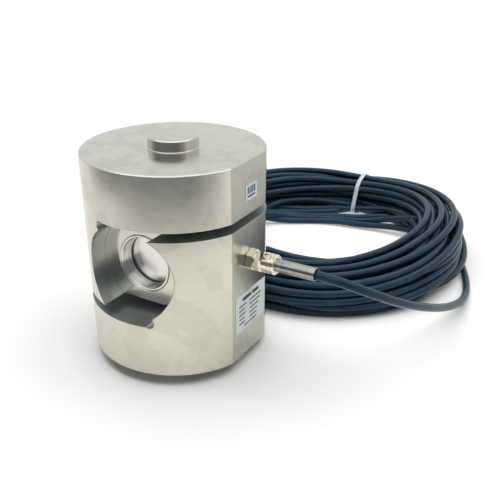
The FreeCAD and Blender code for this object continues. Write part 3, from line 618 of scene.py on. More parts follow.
@dataclass(frozen=True)
class MetalFinish:
    """A plated, turned or drawn metal with cloudy plating, tool lines, specks, and rubbed edges that carry a
    painted highlight.
    """

    name: str
    color: Color
    roughness: float
    axis: TurningAxis
    lines: float = 2600.0
    grain_depth: float = 0.000002
    grain_shade: float = 0.02
    cloud_scale: float = 46.0
    spread: float = 0.07
    pull: float = 0.4
    speck_scale: float = 2600.0
    specks: float = 0.02
    stain: float = 0.06
    stain_scale: float = 44.0
    rub_and_highlight_radius: float = 0.0005
    # wall: share of the tone kept on walls along the axis; below one it darkens them as painted shade in
    # recesses.
    wall: float = 1.0
    metal: float = 1.0
    # How specks, rubbed edges with their painted highlight, clouds and tool lines show, alike on all the
    # metals.
    speck_share: float = 0.5
    speck_tone: float = 0.55
    rub_and_highlight_share: float = 0.6
    rub_and_highlight_tone: float = 1.2
    rub_and_highlight_limit: float = 0.92
    rub_polish: float = 0.3
    rough_swing: Range = (0.82, 1.2)
    shade_window: Range = (0.3, 0.7)
    lay_turn: float = 0.25
    relief: float = 0.5
    # Faces and bores with a tone of their own; their darker tones are painted shade, in part the ground and
    # cut faces' own duller finish.
    worked: tuple[WorkedFace, ...] = ()
    bored: tuple[BoredWall, ...] = ()

    def build(self) -> bpy.types.Material:
        """Makes the material.

        Returns:
            The new material.
        """
        material, sheet, shader, coords = start_material(self.name)
        place = coords.outputs["Object"]
        tone = sheet.group(
            Effect.CLOUDY_TONE, Vector=place, Base=self.color, Scale=self.cloud_scale, Spread=self.spread
        )
        grain = sheet.group(
            Effect.TURNED_GRAIN, Vector=place, Normal=coords.outputs["Normal"], Axis=self.axis.direction,
            Centre=self.axis.centre, Lines=self.lines,
        )
        specks = sheet.group(Effect.FINE_SPECKS, Vector=place, Scale=self.speck_scale, Amount=self.specks)
        rub_and_highlight = sheet.group(Effect.EDGE_RUB, Vector=place, Radius=self.rub_and_highlight_radius)
        swing = self.grain_shade / 2
        shade = sheet.remap(grain.outputs["Shade"], *self.shade_window, 1.0 - swing, 1.0 + swing)
        stain = sheet.group(Effect.PLATING_STAIN, Vector=place, Scale=self.stain_scale)
        dimming = sheet.remap(stain.outputs["Mask"], 0.0, 1.0, 1.0 + self.stain / 2, 1.0 - self.stain / 2)
        # Walls along the axis are darkened by the wall share: painted shade in the recesses.
        shade = sheet.times(shade, sheet.remap(grain.outputs["Face"], 0.0, 1.0, self.wall, 1.0))
        shade = sheet.times(shade, dimming)
        color = sheet.scale(tone.outputs["Color"], shade)
        dull = tuple(self.speck_tone * channel for channel in self.color)
        color = sheet.mix(sheet.times(specks.outputs["Mask"], self.speck_share), color, dull)
        # Edges are lightened here: partly rubbed wear, partly a painted highlight that stands in for the
        # gleam along rims and corners.
        bright = tuple(min(self.rub_and_highlight_limit, self.rub_and_highlight_tone * channel) for channel in self.color)
        color = sheet.mix(sheet.times(rub_and_highlight.outputs["Mask"], self.rub_and_highlight_share), color, bright)
        smooth, rougher = (share * self.roughness for share in self.rough_swing)
        rough = sheet.remap(tone.outputs["Cloud"], 0.0, 1.0, smooth, rougher)
        polish = sheet.times(rub_and_highlight.outputs["Mask"], self.rub_polish * self.roughness)
        rough = sheet.math("SUBTRACT", rough, polish)
        for face in self.worked:
            mask = sheet.group(
                Effect.WORKED_FACE, Vector=place, Normal=coords.outputs["Normal"], Axis=face.axis,
                Near=face.near, Far=face.far,
            ).outputs["Mask"]
            tint = sheet.group(
                Effect.CLOUDY_TONE, Vector=place, Base=face.color, Scale=self.cloud_scale, Spread=self.spread
            )
            color = sheet.mix(mask, color, sheet.scale(tint.outputs["Color"], dimming))
            rough = sheet.remap(mask, 0.0, 1.0, rough, face.roughness)
        for bore in self.bored:
            mask = sheet.group(
                Effect.BORED_WALL, Vector=place, Axis=bore.axis.direction, Centre=bore.axis.centre,
                Radius=bore.radius, Slack=bore.slack, Near=bore.near, Far=bore.far,
            ).outputs["Mask"]
            color = sheet.mix(mask, color, sheet.scale(bore.color, shade))
            rough = sheet.remap(mask, 0.0, 1.0, rough, bore.roughness)
        sheet.feed(shader.inputs["Base Color"], color)
        sheet.feed(shader.inputs["Roughness"], rough)
        shader.inputs["Metallic"].default_value = self.metal
        shader.inputs["Anisotropic"].default_value = self.pull
        shader.inputs["Anisotropic Rotation"].default_value = self.lay_turn
        tangent = sheet.add("ShaderNodeTangent", direction_type="RADIAL", axis=self.axis.letter)
        sheet.feed(shader.inputs["Tangent"], tangent.outputs["Tangent"])
        bump = add_bump(sheet, shader, grain.outputs["Height"], self.grain_depth, self.relief)
        sheet.feed(bump.inputs["Normal"], rub_and_highlight.outputs["Normal"])
        return material


@dataclass(frozen=True)
class SkinFinish:
    """A plastic, paint, film or rubber with drifting tone, worn gloss, specks and an uneven skin."""

    name: str
    color: Color
    roughness: float
    cloud_scale: float = 60.0
    spread: float = 0.12
    ripple_scale: float = 1400.0
    ripple_depth: float = 0.00003
    speck_scale: float = 2200.0
    specks: float = 0.05
    speck_color: Color = (0.4, 0.4, 0.4)
    level: float = 0.5
    gleam: Color = WHITE
    see_into: float = 0.0
    see_depth: float = 0.0008
    speck_share: float = 0.5
    rough_swing: Range = (0.85, 1.2)
    relief: float = 0.4

    def build(self) -> bpy.types.Material:
        """Makes the material.

        Returns:
            The new material.
        """
        material, sheet, shader, coords = start_material(self.name)
        place = coords.outputs["Object"]
        tone = sheet.group(
            Effect.CLOUDY_TONE, Vector=place, Base=self.color, Scale=self.cloud_scale, Spread=self.spread
        )
        ripple = sheet.group(Effect.SKIN_RIPPLE, Vector=place, Scale=self.ripple_scale)
        specks = sheet.group(Effect.FINE_SPECKS, Vector=place, Scale=self.speck_scale, Amount=self.specks)
        spotted = sheet.times(specks.outputs["Mask"], self.speck_share)
        sheet.feed(shader.inputs["Base Color"], sheet.mix(spotted, tone.outputs["Color"], self.speck_color))
        smooth, rougher = (min(1.0, share * self.roughness) for share in self.rough_swing)
        sheet.feed(shader.inputs["Roughness"], sheet.remap(ripple.outputs["Wear"], 0.0, 1.0, smooth, rougher))
        shader.inputs["Specular IOR Level"].default_value = self.level
        shader.inputs["Specular Tint"].default_value = (*self.gleam, 1.0)
        shader.inputs["Subsurface Weight"].default_value = self.see_into
        shader.inputs["Subsurface Scale"].default_value = self.see_depth
        add_bump(sheet, shader, ripple.outputs["Height"], self.ripple_depth, self.relief)
        return material


# The slit faces: a duller cut finish, and a darker, cooler tone that is painted shade inside the narrow
# slits.
SLIT_SHADE_TONE: Color = (0.42, 0.45, 0.455)
SLIT_ROUGHNESS = 0.50
# The ground flat: its own roughness, and a darker tone that is painted shade for the dark reflections it
# shows.
GROUND_AND_SHADED_FLAT = WorkedFace(
    axis=(1.0, 0.0, 0.0), near=0.0522, far=0.0529, color=(0.44, 0.448, 0.42), roughness=0.24
)
LOWER_CUT = WorkedFace(
    axis=(0.0, 0.0, 1.0), near=0.0396, far=0.0464, color=SLIT_SHADE_TONE, roughness=SLIT_ROUGHNESS
)
UPPER_CUT = WorkedFace(
    axis=(0.0, 0.0, 1.0), near=0.0946, far=0.1014, color=SLIT_SHADE_TONE, roughness=SLIT_ROUGHNESS
)
# The counterbore's wall is painted darker and cooler than the body: painted shade inside the recess.
SHADED_COUNTERBORE = BoredWall(
    TurningAxis.BORE, radius=0.030, slack=0.0004, color=(0.45, 0.475, 0.47), roughness=0.28
)
# A near-black ring on the cover's edge in the groove: painted shade in the crease between cover and ring.
SHADED_COVER_GROOVE = BoredWall(
    TurningAxis.BORE, radius=0.0157, slack=0.0002, color=(0.10, 0.105, 0.10), roughness=0.35,
    near=0.0262, far=0.0277,
)
BODY_NICKEL = MetalFinish(
    "body_nickel", (0.64, 0.625, 0.578), 0.18, TurningAxis.LOAD, spread=0.08, stain=0.13, specks=0.12,
    worked=(GROUND_AND_SHADED_FLAT, LOWER_CUT, UPPER_CUT), bored=(SHADED_COUNTERBORE,),
)
STUD_NICKEL = MetalFinish(
    "stud_nickel", (0.62, 0.605, 0.56), 0.14, TurningAxis.LOAD, cloud_scale=90.0, rub_and_highlight_radius=0.0003
)
RING_NICKEL = MetalFinish(
    "ring_nickel", (0.76, 0.75, 0.72), 0.18, TurningAxis.BORE, lines=3200.0, wall=0.95, rub_and_highlight_radius=0.0003
)
GLAND_PLATING = MetalFinish(
    "gland_plating", (0.86, 0.815, 0.69), 0.07, TurningAxis.GLAND, lines=4200.0, cloud_scale=90.0, pull=0.3,
    rub_and_highlight_radius=0.00016,
)
SLEEVE_STEEL = MetalFinish(
    "sleeve_steel", (0.355, 0.36, 0.36), 0.19, TurningAxis.GLAND, lines=5200.0, grain_depth=0.000004,
    grain_shade=0.12, cloud_scale=200.0, spread=0.18, specks=0.18, speck_scale=3200.0, rub_and_highlight_radius=0.00025,
)
BRAID_STEEL = MetalFinish("shield_braid", (0.60, 0.58, 0.54), 0.35, TurningAxis.LOAD, lines=4000.0)
# The cover's rim walls are darkened to 0.7 as painted shade in the recess.
COVER_CREAM = MetalFinish(
    "cover_cream", (0.92, 0.91, 0.875), 0.20, TurningAxis.BORE, cloud_scale=110.0, spread=0.04, stain=0.03,
    grain_depth=0.0000006, pull=0.0, wall=0.7, metal=0.78, rub_and_highlight_radius=0.0003, bored=(SHADED_COVER_GROOVE,),
)
GAUGE_FILM = SkinFinish("gauge_film", (0.62, 0.33, 0.06), 0.35, cloud_scale=400.0, spread=0.3)
BOARD_GREEN = SkinFinish("board_green", (0.04, 0.20, 0.08), 0.40, cloud_scale=300.0, spread=0.3)
RESISTOR_BLACK = SkinFinish("resistor_black", (0.03, 0.03, 0.03), 0.5, cloud_scale=500.0)
LEAD_ENAMEL = SkinFinish("lead_enamel", (0.45, 0.18, 0.05), 0.3, cloud_scale=500.0)
SEAL_RUBBER = SkinFinish("seal_rubber", (0.02, 0.02, 0.02), 0.7, cloud_scale=300.0)
LABEL_FILM = SkinFinish(
    "label_white", (0.76, 0.82, 0.83), 0.38, cloud_scale=70.0, spread=0.08, ripple_depth=0.00002,
    ripple_scale=700.0, speck_color=(0.5, 0.52, 0.53),
)
BADGE_FILM = SkinFinish(
    "badge_white", (0.80, 0.83, 0.85), 0.38, cloud_scale=120.0, spread=0.08, speck_color=(0.5, 0.52, 0.53)
)
PRINT_INK = SkinFinish(
    "print_ink", (0.035, 0.045, 0.06), 0.55, cloud_scale=900.0, spread=0.5, ripple_scale=4000.0,
    ripple_depth=0.000008, speck_color=(0.2, 0.22, 0.24), specks=0.4,
)
BADGE_INK = SkinFinish(
    "badge_ink", (0.10, 0.14, 0.24), 0.5, cloud_scale=700.0, spread=0.4, ripple_scale=4000.0,
    ripple_depth=0.000008,
)
CABLE_JACKET = SkinFinish(
    "cable_jacket", (0.016, 0.037, 0.065), 0.23, cloud_scale=45.0, spread=0.35, ripple_scale=900.0,
    ripple_depth=0.00004, speck_scale=1500.0, specks=0.08, speck_color=(0.03, 0.05, 0.07), level=0.25,
    gleam=(0.62, 0.86, 1.0),
)
TIE_NYLON = SkinFinish(
    "tie_white", (0.56, 0.62, 0.69), 0.42, cloud_scale=120.0, ripple_scale=1800.0, see_into=0.15,
)
WIRE_COLORS: dict[str, Color] = {
    "red": (0.50, 0.03, 0.03),
    "black": (0.02, 0.02, 0.02),
    "green": (0.03, 0.28, 0.07),
    "white": (0.75, 0.75, 0.73),
}
INSULATION = {
    name: SkinFinish(f"wire_{name}", color, 0.45, cloud_scale=300.0) for name, color in WIRE_COLORS.items()
}
Finish = MetalFinish | SkinFinish


def finish_material(finish: Finish) -> bpy.types.Material:
    """Gives the material of a finish, built when first asked for.

    Args:
        finish: The finish.

    Returns:
        Its material.
    """
    name = f"finish_{finish.name}"
    known = bpy.data.materials.get(name)
    if known:
        return known
    material = finish.build()
    material.name = name
    return material


def dress(piece: bpy.types.Object, finish: Finish) -> None:
    """Puts a finish on every material slot of a piece and reports it.

    Args:
        piece: A CAD node or a piece built here.
        finish: The finish to put on.
    """
    material = finish_material(finish)
    if not piece.material_slots:
        piece.data.materials.append(material)
    for place in piece.material_slots:
        place.material = material
    LOG.info("%s dressed in %s", piece.name, finish.name)


def add_object(name: str, data: bpy.types.ID) -> bpy.types.Object:
    """Adds an object to the scene.

    Args:
        name: The object's name.
        data: Its mesh, curve, lamp or camera.

    Returns:
        The new object.
    """
    added = bpy.data.objects.new(name, data)
    bpy.context.scene.collection.objects.link(added)
    return added


def add_piece(name: str, data: bpy.types.Mesh | bpy.types.Curve) -> bpy.types.Object:
    """Adds a piece that rides on the load cell.

    Args:
        name: The piece's name.
        data: Its mesh or curve.

    Returns:
        The new object.
    """
    piece = add_object(name, data)
    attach(piece, BODY)
    return piece


def add_block(shape: bmesh.types.BMesh, middle: Vector, size: Vector | Point) -> list[bmesh.types.BMVert]:
    """Adds a square block to a shape.

    Args:
        shape: Shape to add to.
        middle: The block's middle.
        size: Its sides along X, Y and Z.

    Returns:
        The block's corners.
    """
    place = Matrix.Translation(middle) @ Matrix.Diagonal((*size, 1.0))
    return bmesh.ops.create_cube(shape, size=1.0, matrix=place)["verts"]


def turn_outwards(shape: bmesh.types.BMesh, smooth: bool) -> None:
    """Turns a shape's faces outwards and sets how they are shaded.

    Args:
        shape: The shape.
        smooth: Whether its faces are shaded smooth.
    """
    bmesh.ops.recalc_face_normals(shape, faces=shape.faces)
    for face in shape.faces:
        face.smooth = smooth


def fill_mesh(mesh: bpy.types.Mesh, shape: bmesh.types.BMesh) -> None:
    """Writes a finished shape into a mesh and frees it."""
    shape.to_mesh(mesh)
    shape.free()


def mesh_from(name: str, points: list[Point], faces: list[tuple[int, ...]], smooth: bool) -> bpy.types.Mesh:
    """Makes a mesh with its faces turned outwards.

    Args:
        name: The mesh's name.
        points: Its vertices.
        faces: Its faces, as indices of vertices.
        smooth: Whether its faces are shaded smooth.

    Returns:
        The new mesh.
    """
    mesh = bpy.data.meshes.new(name)
    mesh.from_pydata(points, [], faces)
    shape = bmesh.new()
    shape.from_mesh(mesh)
    turn_outwards(shape, smooth)
    fill_mesh(mesh, shape)
    return mesh


@dataclass
class SpringBody:
    """The S-cut body and its two load studs."""

    body: str = "body"
    studs: tuple[str, str] = ("top_load_stud", "bottom_load_stud")

    def build(self, nodes: Nodes) -> None:
        """Dresses the body and the studs.

        Args:
            nodes: CAD nodes by name.
        """
        dress(nodes[self.body], BODY_NICKEL)
        for stud in self.studs:
            dress(nodes[stud], STUD_NICKEL)


@dataclass
class SealedBore:
    """One gauge bore: its seal ring, its cover and the gauge behind it."""

    side: Side

    def build(self, nodes: Nodes) -> None:
        """Dresses the bore's pieces.

        Args:
            nodes: CAD nodes by name.
        """
        dress(nodes[f"{self.side.value}_seal_ring"], RING_NICKEL)
        dress(nodes[f"{self.side.value}_cover"], COVER_CREAM)
        dress(nodes[f"{self.side.value}_gauge"], GAUGE_FILM)


@dataclass
class Bridge:
    """The wiring inside: terminal board, trim resistors, bridge leads and wires to the gland."""

    board: str = "terminal_board"
    resistors: str = "trim_resistors"
    leads: str = "bridge_leads"

    def build(self, nodes: Nodes) -> None:
        """Dresses the inner pieces.

        Args:
            nodes: CAD nodes by name.
        """
        dress(nodes[self.board], BOARD_GREEN)
        dress(nodes[self.resistors], RESISTOR_BLACK)
        dress(nodes[self.leads], LEAD_ENAMEL)
        for color, finish in INSULATION.items():
            dress(nodes[f"wire_{color}"], finish)


@dataclass
class Gland:
    """The cable gland on the flat, with its nut, seal, bend sleeve and the cable that it grips."""

    plated: tuple[str, str] = ("gland_body", "gland_nut")
    seal: str = "gland_seal"
    sleeve: str = "cable_sleeve"
    gripped: str = "cable_in_gland"

    def build(self, nodes: Nodes) -> None:
        """Dresses the gland's pieces.

        Args:
            nodes: CAD nodes by name.
        """
        for name in self.plated:
            dress(nodes[name], GLAND_PLATING)
        dress(nodes[self.seal], SEAL_RUBBER)
        dress(nodes[self.sleeve], SLEEVE_STEEL)
        dress(nodes[self.gripped], CABLE_JACKET)


@dataclass(frozen=True)
class PrintBar:
    """One printed bar on a label: shares of the label's width and height, from its left and its top."""

    left: float
    top: float
    width: float
    height: float


@dataclass
class Labels:
    """The two film labels on the flat and their plain print."""

    wiring: str = "wiring_label"
    badge: str = "plain_label"
    ink: float = 0.03 * MM
    overlap: float = 0.05 * MM
    heading: tuple[PrintBar, ...] = (
        PrintBar(0.22, 0.10, 0.29, 0.095), PrintBar(0.55, 0.10, 0.22, 0.095),
    )
    row_tops: tuple[float, ...] = (0.28, 0.40, 0.52, 0.64, 0.76)
    row_height: float = 0.05
    left_column: tuple[float, ...] = (0.23, 0.18, 0.21, 0.15, 0.17)
    right_column: tuple[float, ...] = (0.38, 0.35, 0.29, 0.25, 0.22)
    left_start: float = 0.11
    right_start: float = 0.46
    foot: PrintBar = PrintBar(0.28, 0.88, 0.42, 0.05)
    mark_widths: tuple[float, ...] = (0.020, 0.013, 0.017, 0.022, 0.012, 0.018, 0.015)
    mark_gap: float = 0.007
    mark_shuffle: int = 100
    badge_field: tuple[PrintBar, ...] = (
        PrintBar(0.13, 0.13, 0.15, 0.46), PrintBar(0.33, 0.13, 0.09, 0.46), PrintBar(0.46, 0.13, 0.16, 0.46),
        PrintBar(0.67, 0.13, 0.19, 0.46), PrintBar(0.13, 0.70, 0.73, 0.15),
    )

    def build(self, nodes: Nodes) -> None:
        """Dresses the labels and prints their bars.

        Args:
            nodes: CAD nodes by name.
        """
        dress(nodes[self.wiring], LABEL_FILM)
        dress(nodes[self.badge], BADGE_FILM)
        rows = [
            PrintBar(start, top, width, self.row_height)
            for start, column in ((self.left_start, self.left_column), (self.right_start, self.right_column))
            for top, width in zip(self.row_tops, column)
        ]
        bars = [*self.heading, *(mark for row in [*rows, self.foot] for mark in self._marks(row))]
        self._print("wiring_print", self.wiring, bars, PRINT_INK)
        self._print("badge_print", self.badge, list(self.badge_field), BADGE_INK)

    def _marks(self, row: PrintBar) -> list[PrintBar]:
        """Breaks a printed row into short marks of uneven width, which start differently in each row.

        Args:
            row: The whole row.

        Returns:
            The row's marks.
        """
        marks = []
        left = row.left
        index = round(self.mark_shuffle * (row.top + row.width))
        while left < row.left + row.width:
            width = self.mark_widths[index % len(self.mark_widths)]
            marks.append(PrintBar(left, row.top, width, row.height))
            left += width + self.mark_gap
            index += 1
        return marks

    def _print(self, name: str, label: str, bars: list[PrintBar], finish: Finish) -> None:
        """Lays printed bars on a label's face.

        Args:
            name: Name of the new piece.
            label: CAD node of the label.
            bars: The bars.
            finish: The ink's finish.
        """
        low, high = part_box(label)
        shape = bmesh.new()
        for bar in bars:
            width = bar.width * (high.y - low.y)
            height = bar.height * (high.z - low.z)
            middle = Vector((
                high.x + (self.ink - self.overlap) / 2,
                low.y + bar.left * (high.y - low.y) + width / 2,
                high.z - bar.top * (high.z - low.z) - height / 2,
            ))
            add_block(shape, middle, (self.ink + self.overlap, width, height))
        mesh = bpy.data.meshes.new(name)
        fill_mesh(mesh, shape)
        dress(add_piece(name, mesh), finish)


@dataclass(frozen=True)
class Section:
    """The coil's outline at one angle: degrees, and metres from the coil's middle and above the floor."""

    angle: float
    inner: float
    outer: float
    height: float


@dataclass(frozen=True)
class Stray:
    """A stretch of one lap that lies away from the bundle: degrees, and metres from the middle and floor."""

    lap: int
    middle: float
    half: float
    radius: float
    height: float


def ease(part: np.ndarray) -> np.ndarray:
    """Turns an even rise from 0 to 1 into one that starts and ends gently."""
    return part * part * (3.0 - 2.0 * part)


@dataclass(frozen=True)
class CoilLay:
    """The turns as they lie: angle, radius and height of each point of the cable's line."""

    centre: tuple[float, float]
    angle: np.ndarray
    radius: np.ndarray
    height: np.ndarray

    def points(self) -> list[Point]:
        """Gives the turns in the row frame.

        Returns:
            The points, in order.
        """
        x = self.centre[0] + self.radius * np.cos(self.angle)
        y = self.centre[1] + self.radius * np.sin(self.angle)
        return [(float(a), float(b), float(c)) for a, b, c in zip(x, y, self.height)]

    def crossing(self, degrees: float) -> list[tuple[float, float]]:
        """Finds where the turns pass one angle.

        Args:
            degrees: The angle.

        Returns:
            Radius and height of each pass.
        """
        first = math.ceil((self.angle[0] - math.radians(degrees)) / FULL_TURN)
        last = math.floor((self.angle[-1] - math.radians(degrees)) / FULL_TURN)
        at = np.radians(degrees) + FULL_TURN * np.arange(first, last + 1)
        radius = np.interp(at, self.angle, self.radius)
        height = np.interp(at, self.angle, self.height)
        return [(float(a), float(b)) for a, b in zip(radius, height)]


@dataclass
class CoilWinder:
    """Winds the cable into a loose hand-made coil and lets the turns settle on each other.

    The turns are planned layer by layer with a seeded drift, put in rows that fill the coil's outline at
    every station, and then pushed apart.
    """

    diameter: float
    centre: tuple[float, float] = (0.019, 0.182)
    start_angle: float = 14.7
    end_angle: float = 186.0
    start_radius: float = 0.1163
    end_radius: float = 0.117
    laps: int = 32
    steps: int = 36
    stations: int = 9
    layers: int = 5
    seed: int = 7
    wander: float = 0.13
    # The drift of a hand: turns between the knots of each wave, and the wave's weight.
    across_waves: tuple[Range, ...] = ((0.9, 1.0), (0.37, 0.6))
    level_waves: tuple[Range, ...] = ((1.1, 1.0), (0.41, 0.5))
    spare_knots: int = 4
    # The first and the last turn: where they go in the bundle, and over how many turns they are led there.
    end_turns: Range = (0.5, 0.6)
    end_place: Range = (1.2, -0.3)
    end_hold: Range = (0.1, 0.12)
    # How rows fill the outline, as shares of the cable's diameter or of the outline's size.
    row_pitch: float = 0.87
    belly_level: float = 0.42
    belly_reach: float = 0.66
    belly_power: float = 2.6
    spare_room: float = 0.3
    row_lean: float = 0.06
    # Shares of a stray stretch: the part that has no place in the bundle, and the part that leads out to it.
    stray_core: float = 0.6
    stray_fade: float = 0.6
    # How the turns settle: evening along the cable, draw to their places, sinking and pushing apart.
    first_evening: float = 0.25
    first_rounds: int = 6
    rounds: int = 400
    evening: float = 0.3
    draw: float = 0.02
    stray_draw: float = 0.2
    sink: float = 0.00004
    pushes: int = 2
    push: float = 0.3
    least_gap: float = 1e-9
    # The tie's strap lifts the turns where it passes under them.
    tie_angle: float = 90.0
    tie_half: float = 12.0
    tie_lift: float = 1.4 * MM
    sections: tuple[Section, ...] = (
        Section(5, 0.080, 0.116, 0.042), Section(30, 0.083, 0.1175, 0.045),
        Section(55, 0.084, 0.118, 0.039), Section(90, 0.082, 0.119, 0.030),
        Section(125, 0.082, 0.122, 0.034), Section(160, 0.080, 0.122, 0.034),
        Section(200, 0.072, 0.121, 0.031), Section(240, 0.066, 0.119, 0.029),
        Section(270, 0.064, 0.124, 0.027), Section(290, 0.065, 0.130, 0.026),
        Section(310, 0.066, 0.131, 0.027), Section(326, 0.068, 0.127, 0.030),
        Section(342, 0.074, 0.1185, 0.036),
    )
    strays: tuple[Stray, ...] = (
        Stray(9, 108, 88, 0.0485, 0.0028), Stray(17, 110, 84, 0.0545, 0.0028),
        Stray(23, 112, 80, 0.0605, 0.0028), Stray(13, 124, 56, 0.0695, 0.0028),
        Stray(20, 118, 58, 0.0765, 0.0028), Stray(26, 357, 62, 0.1215, 0.0088),
    )

    def wind(self) -> CoilLay:
        """Lays all the turns.

        Returns:
            The settled turns.
        """
        total = self.laps + (self.end_angle - self.start_angle) / 360.0
        count = int(round(total * self.steps)) + 1
        turn = np.linspace(0.0, total, count)
        angle = math.radians(self.start_angle) + turn * FULL_TURN
        across, level = self._plan(turn, total)
        radius, height = self._targets(turn, across, level)
        stray = self._pull_strays(angle, radius, height)
        self._hold_ends(turn, total, radius, height)
        self._smooth(radius, height, self.first_evening, self.first_rounds)
        off_tie = np.mod(np.degrees(angle) - self.tie_angle + 180.0, 360.0) - 180.0
        low = self.diameter / 2 + self.tie_lift * np.exp(-((off_tie / self.tie_half) ** 2))
        radius, height = self._settle(radius, height, stray, low)
        return CoilLay(self.centre, angle, radius, height)

    def _plan(self, turn: np.ndarray, total: float) -> tuple[np.ndarray, np.ndarray]:
        """Plans where each turn belongs in the bundle, layer by layer, with a hand's drift.

        Args:
            turn: Turns wound at each point.
            total: Turns in all.

        Returns:
            Share across the bundle and share of its height, at each point.
        """
        rng = np.random.default_rng(self.seed)
        layer = turn * self.layers / total
        across = np.abs(np.mod(layer, 2.0) - 1.0)
        level = layer / self.layers
        across = across + self.wander * self._drift(rng, turn, self.across_waves)
        level = level + self.wander * self._drift(rng, turn, self.level_waves)
        near_start, near_end = self.end_turns
        ends = np.exp(-((turn / near_start) ** 2)) + np.exp(-(((total - turn) / near_end) ** 2))
        end_across, end_level = self.end_place
        return across * (1.0 - ends) + end_across * ends, level * (1.0 - ends) + end_level * ends

    def _drift(self, rng: np.random.Generator, turn: np.ndarray, waves: tuple[Range, ...]) -> np.ndarray:
        """Makes a smooth seeded drift.

        Args:
            rng: Seeded generator.
            turn: Turns wound at each point.
            waves: Turns between the knots of each wave, and the wave's weight.

        Returns:
            The drift at each point.
        """
        drift = np.zeros(len(turn))
        for wave, weight in waves:
            knots = rng.normal(0.0, 1.0, int(turn[-1] / wave) + self.spare_knots)
            index = np.floor(turn / wave).astype(int)
            part = ease(turn / wave - index)
            drift += weight * (knots[index] * (1.0 - part) + knots[index + 1] * part)
        return drift

    def _outline(self, degrees: float) -> tuple[float, float, float]:
        """Gives the coil's outline at an angle.

        Args:
            degrees: The angle.

        Returns:
            Inner radius, outer radius and height.
        """
        angles = np.array([section.angle for section in self.sections], float)
        angles = np.concatenate([angles - 360.0, angles, angles + 360.0])
        sizes = np.array([(s.inner, s.outer, s.height) for s in self.sections] * 3)
        inner, outer, height = (np.interp(degrees % 360.0, angles, sizes[:, k]) for k in range(3))
        return float(inner), float(outer), float(height)

    def _slots(self, degrees: float, count: int) -> list[list[tuple[float, float]]]:
        """Fills the coil's outline at an angle with places for the turns.

        Args:
            degrees: The angle.
            count: Number of turns.

        Returns:
            Rows of radius and height, lowest row first.
        """
        inner, outer, height = self._outline(degrees)
        thick = self.diameter
        levels = max(2, int(round((height - thick) / (self.row_pitch * thick))) + 1)
        heights = np.linspace(thick / 2, height - thick / 2, levels)
        bulge = np.abs(heights - self.belly_level * height) / (self.belly_reach * height)
        widths = np.sqrt(np.maximum(0.0, 1.0 - bulge ** self.belly_power)) * (outer - inner - thick)
        room = widths + self.spare_room * thick
        rows = np.maximum(1, np.round(count * room / room.sum()).astype(int))
        while rows.sum() != count:
            if rows.sum() > count:
                rows[np.argmax(rows)] -= 1
            else:
                rows[np.argmax(widths / rows)] += 1
        middle = (inner + outer) / 2
        slots = []
        for level, (number, width) in enumerate(zip(rows, widths)):
            lean = self.row_lean * (outer - inner) * (level / (levels - 1) - 0.5)
            half = width / 2 if number > 1 else 0.0
            places = np.linspace(middle - half, middle + half, number) + lean
            slots.append([(float(place), float(heights[level])) for place in places])
        return slots

    def _targets(
        self, turn: np.ndarray, across: np.ndarray, level: np.ndarray
    ) -> tuple[np.ndarray, np.ndarray]:
        """Gives each turn a place at every station, by its rank in the bundle, and joins the places.

        Args:
            turn: Turns wound at each point.
            across: Planned share across the bundle.
            level: Planned share of the bundle's height.

        Returns:
            Radius and height that each point is drawn to.
        """
        marks = np.arange(int(math.ceil(turn[-1] * self.stations)) + 1)
        mark_turn = marks / self.stations
        mark_angle = self.start_angle + 360.0 * mark_turn
        mark_across = np.interp(mark_turn, turn, across)
        mark_level = np.interp(mark_turn, turn, level)
        away = np.zeros(len(marks), bool)
        for stray in self.strays:
            away |= np.abs(mark_angle - 360.0 * stray.lap - stray.middle) < self.stray_core * stray.half
        radius = np.zeros(len(marks))
        height = np.zeros(len(marks))
        for station in range(self.stations):
            members = np.arange(station, len(marks), self.stations)
            members = members[~away[members]]
            ranked = members[np.argsort(mark_level[members])]
            taken = 0
            for row in self._slots(mark_angle[station], len(members)):
                group = ranked[taken:taken + len(row)]
                taken += len(row)
                group = group[np.argsort(mark_across[group])]
                for mark, (place, rise) in zip(group, row):
                    radius[mark] = place
                    height[mark] = rise
        held = np.flatnonzero(~away)
        radius = np.interp(marks, held, radius[held])
        height = np.interp(marks, held, height[held])
        spot = turn * self.stations
        index = np.clip(np.floor(spot).astype(int), 0, len(marks) - 2)
        part = ease(spot - index)
        joined = [values[index] * (1.0 - part) + values[index + 1] * part for values in (radius, height)]
        return joined[0], joined[1]

    def _pull_strays(self, angle: np.ndarray, radius: np.ndarray, height: np.ndarray) -> np.ndarray:
        """Moves the stray stretches to where they lie.

        Args:
            angle: Angle of each point.
            radius: Radii, changed in place.
            height: Heights, changed in place.

        Returns:
            How far each point belongs to a stray stretch, from 0 to 1.
        """
        astray = np.zeros(len(angle))
        for stray in self.strays:
            off = np.abs(np.degrees(angle) - 360.0 * stray.lap - stray.middle) / stray.half
            share = ease(np.clip((1.0 - off) / self.stray_fade, 0.0, 1.0))
            radius += share * (stray.radius - radius)
            height += share * (stray.height - height)
            astray = np.maximum(astray, share)
        return astray

    def _hold_ends(self, turn: np.ndarray, total: float, radius: np.ndarray, height: np.ndarray) -> None:
        """Leads both ends of the coil to where the free cable meets them.

        Args:
            turn: Turns wound at each point.
            total: Turns in all.
            radius: Radii, changed in place.
            height: Heights, changed in place.
        """
        near_start, near_end = self.end_hold
        ends = ((turn / near_start, self.start_radius), ((total - turn) / near_end, self.end_radius))
        for away, place in ends:
            share = np.exp(-(away ** 2))
            radius += share * (place - radius)
            height += share * (self.diameter / 2 - height)

    @staticmethod
    def _smooth(first: np.ndarray, second: np.ndarray, share: float, rounds: int) -> None:
        """Evens two runs of values out along the cable.

        Args:
            first: First run, changed in place.
            second: Second run, changed in place.
            share: Share of the unevenness taken out each time.
            rounds: Number of times.
        """
        for _ in range(rounds):
            for values in (first, second):
                values[1:-1] += share * (values[:-2] + values[2:] - 2.0 * values[1:-1])

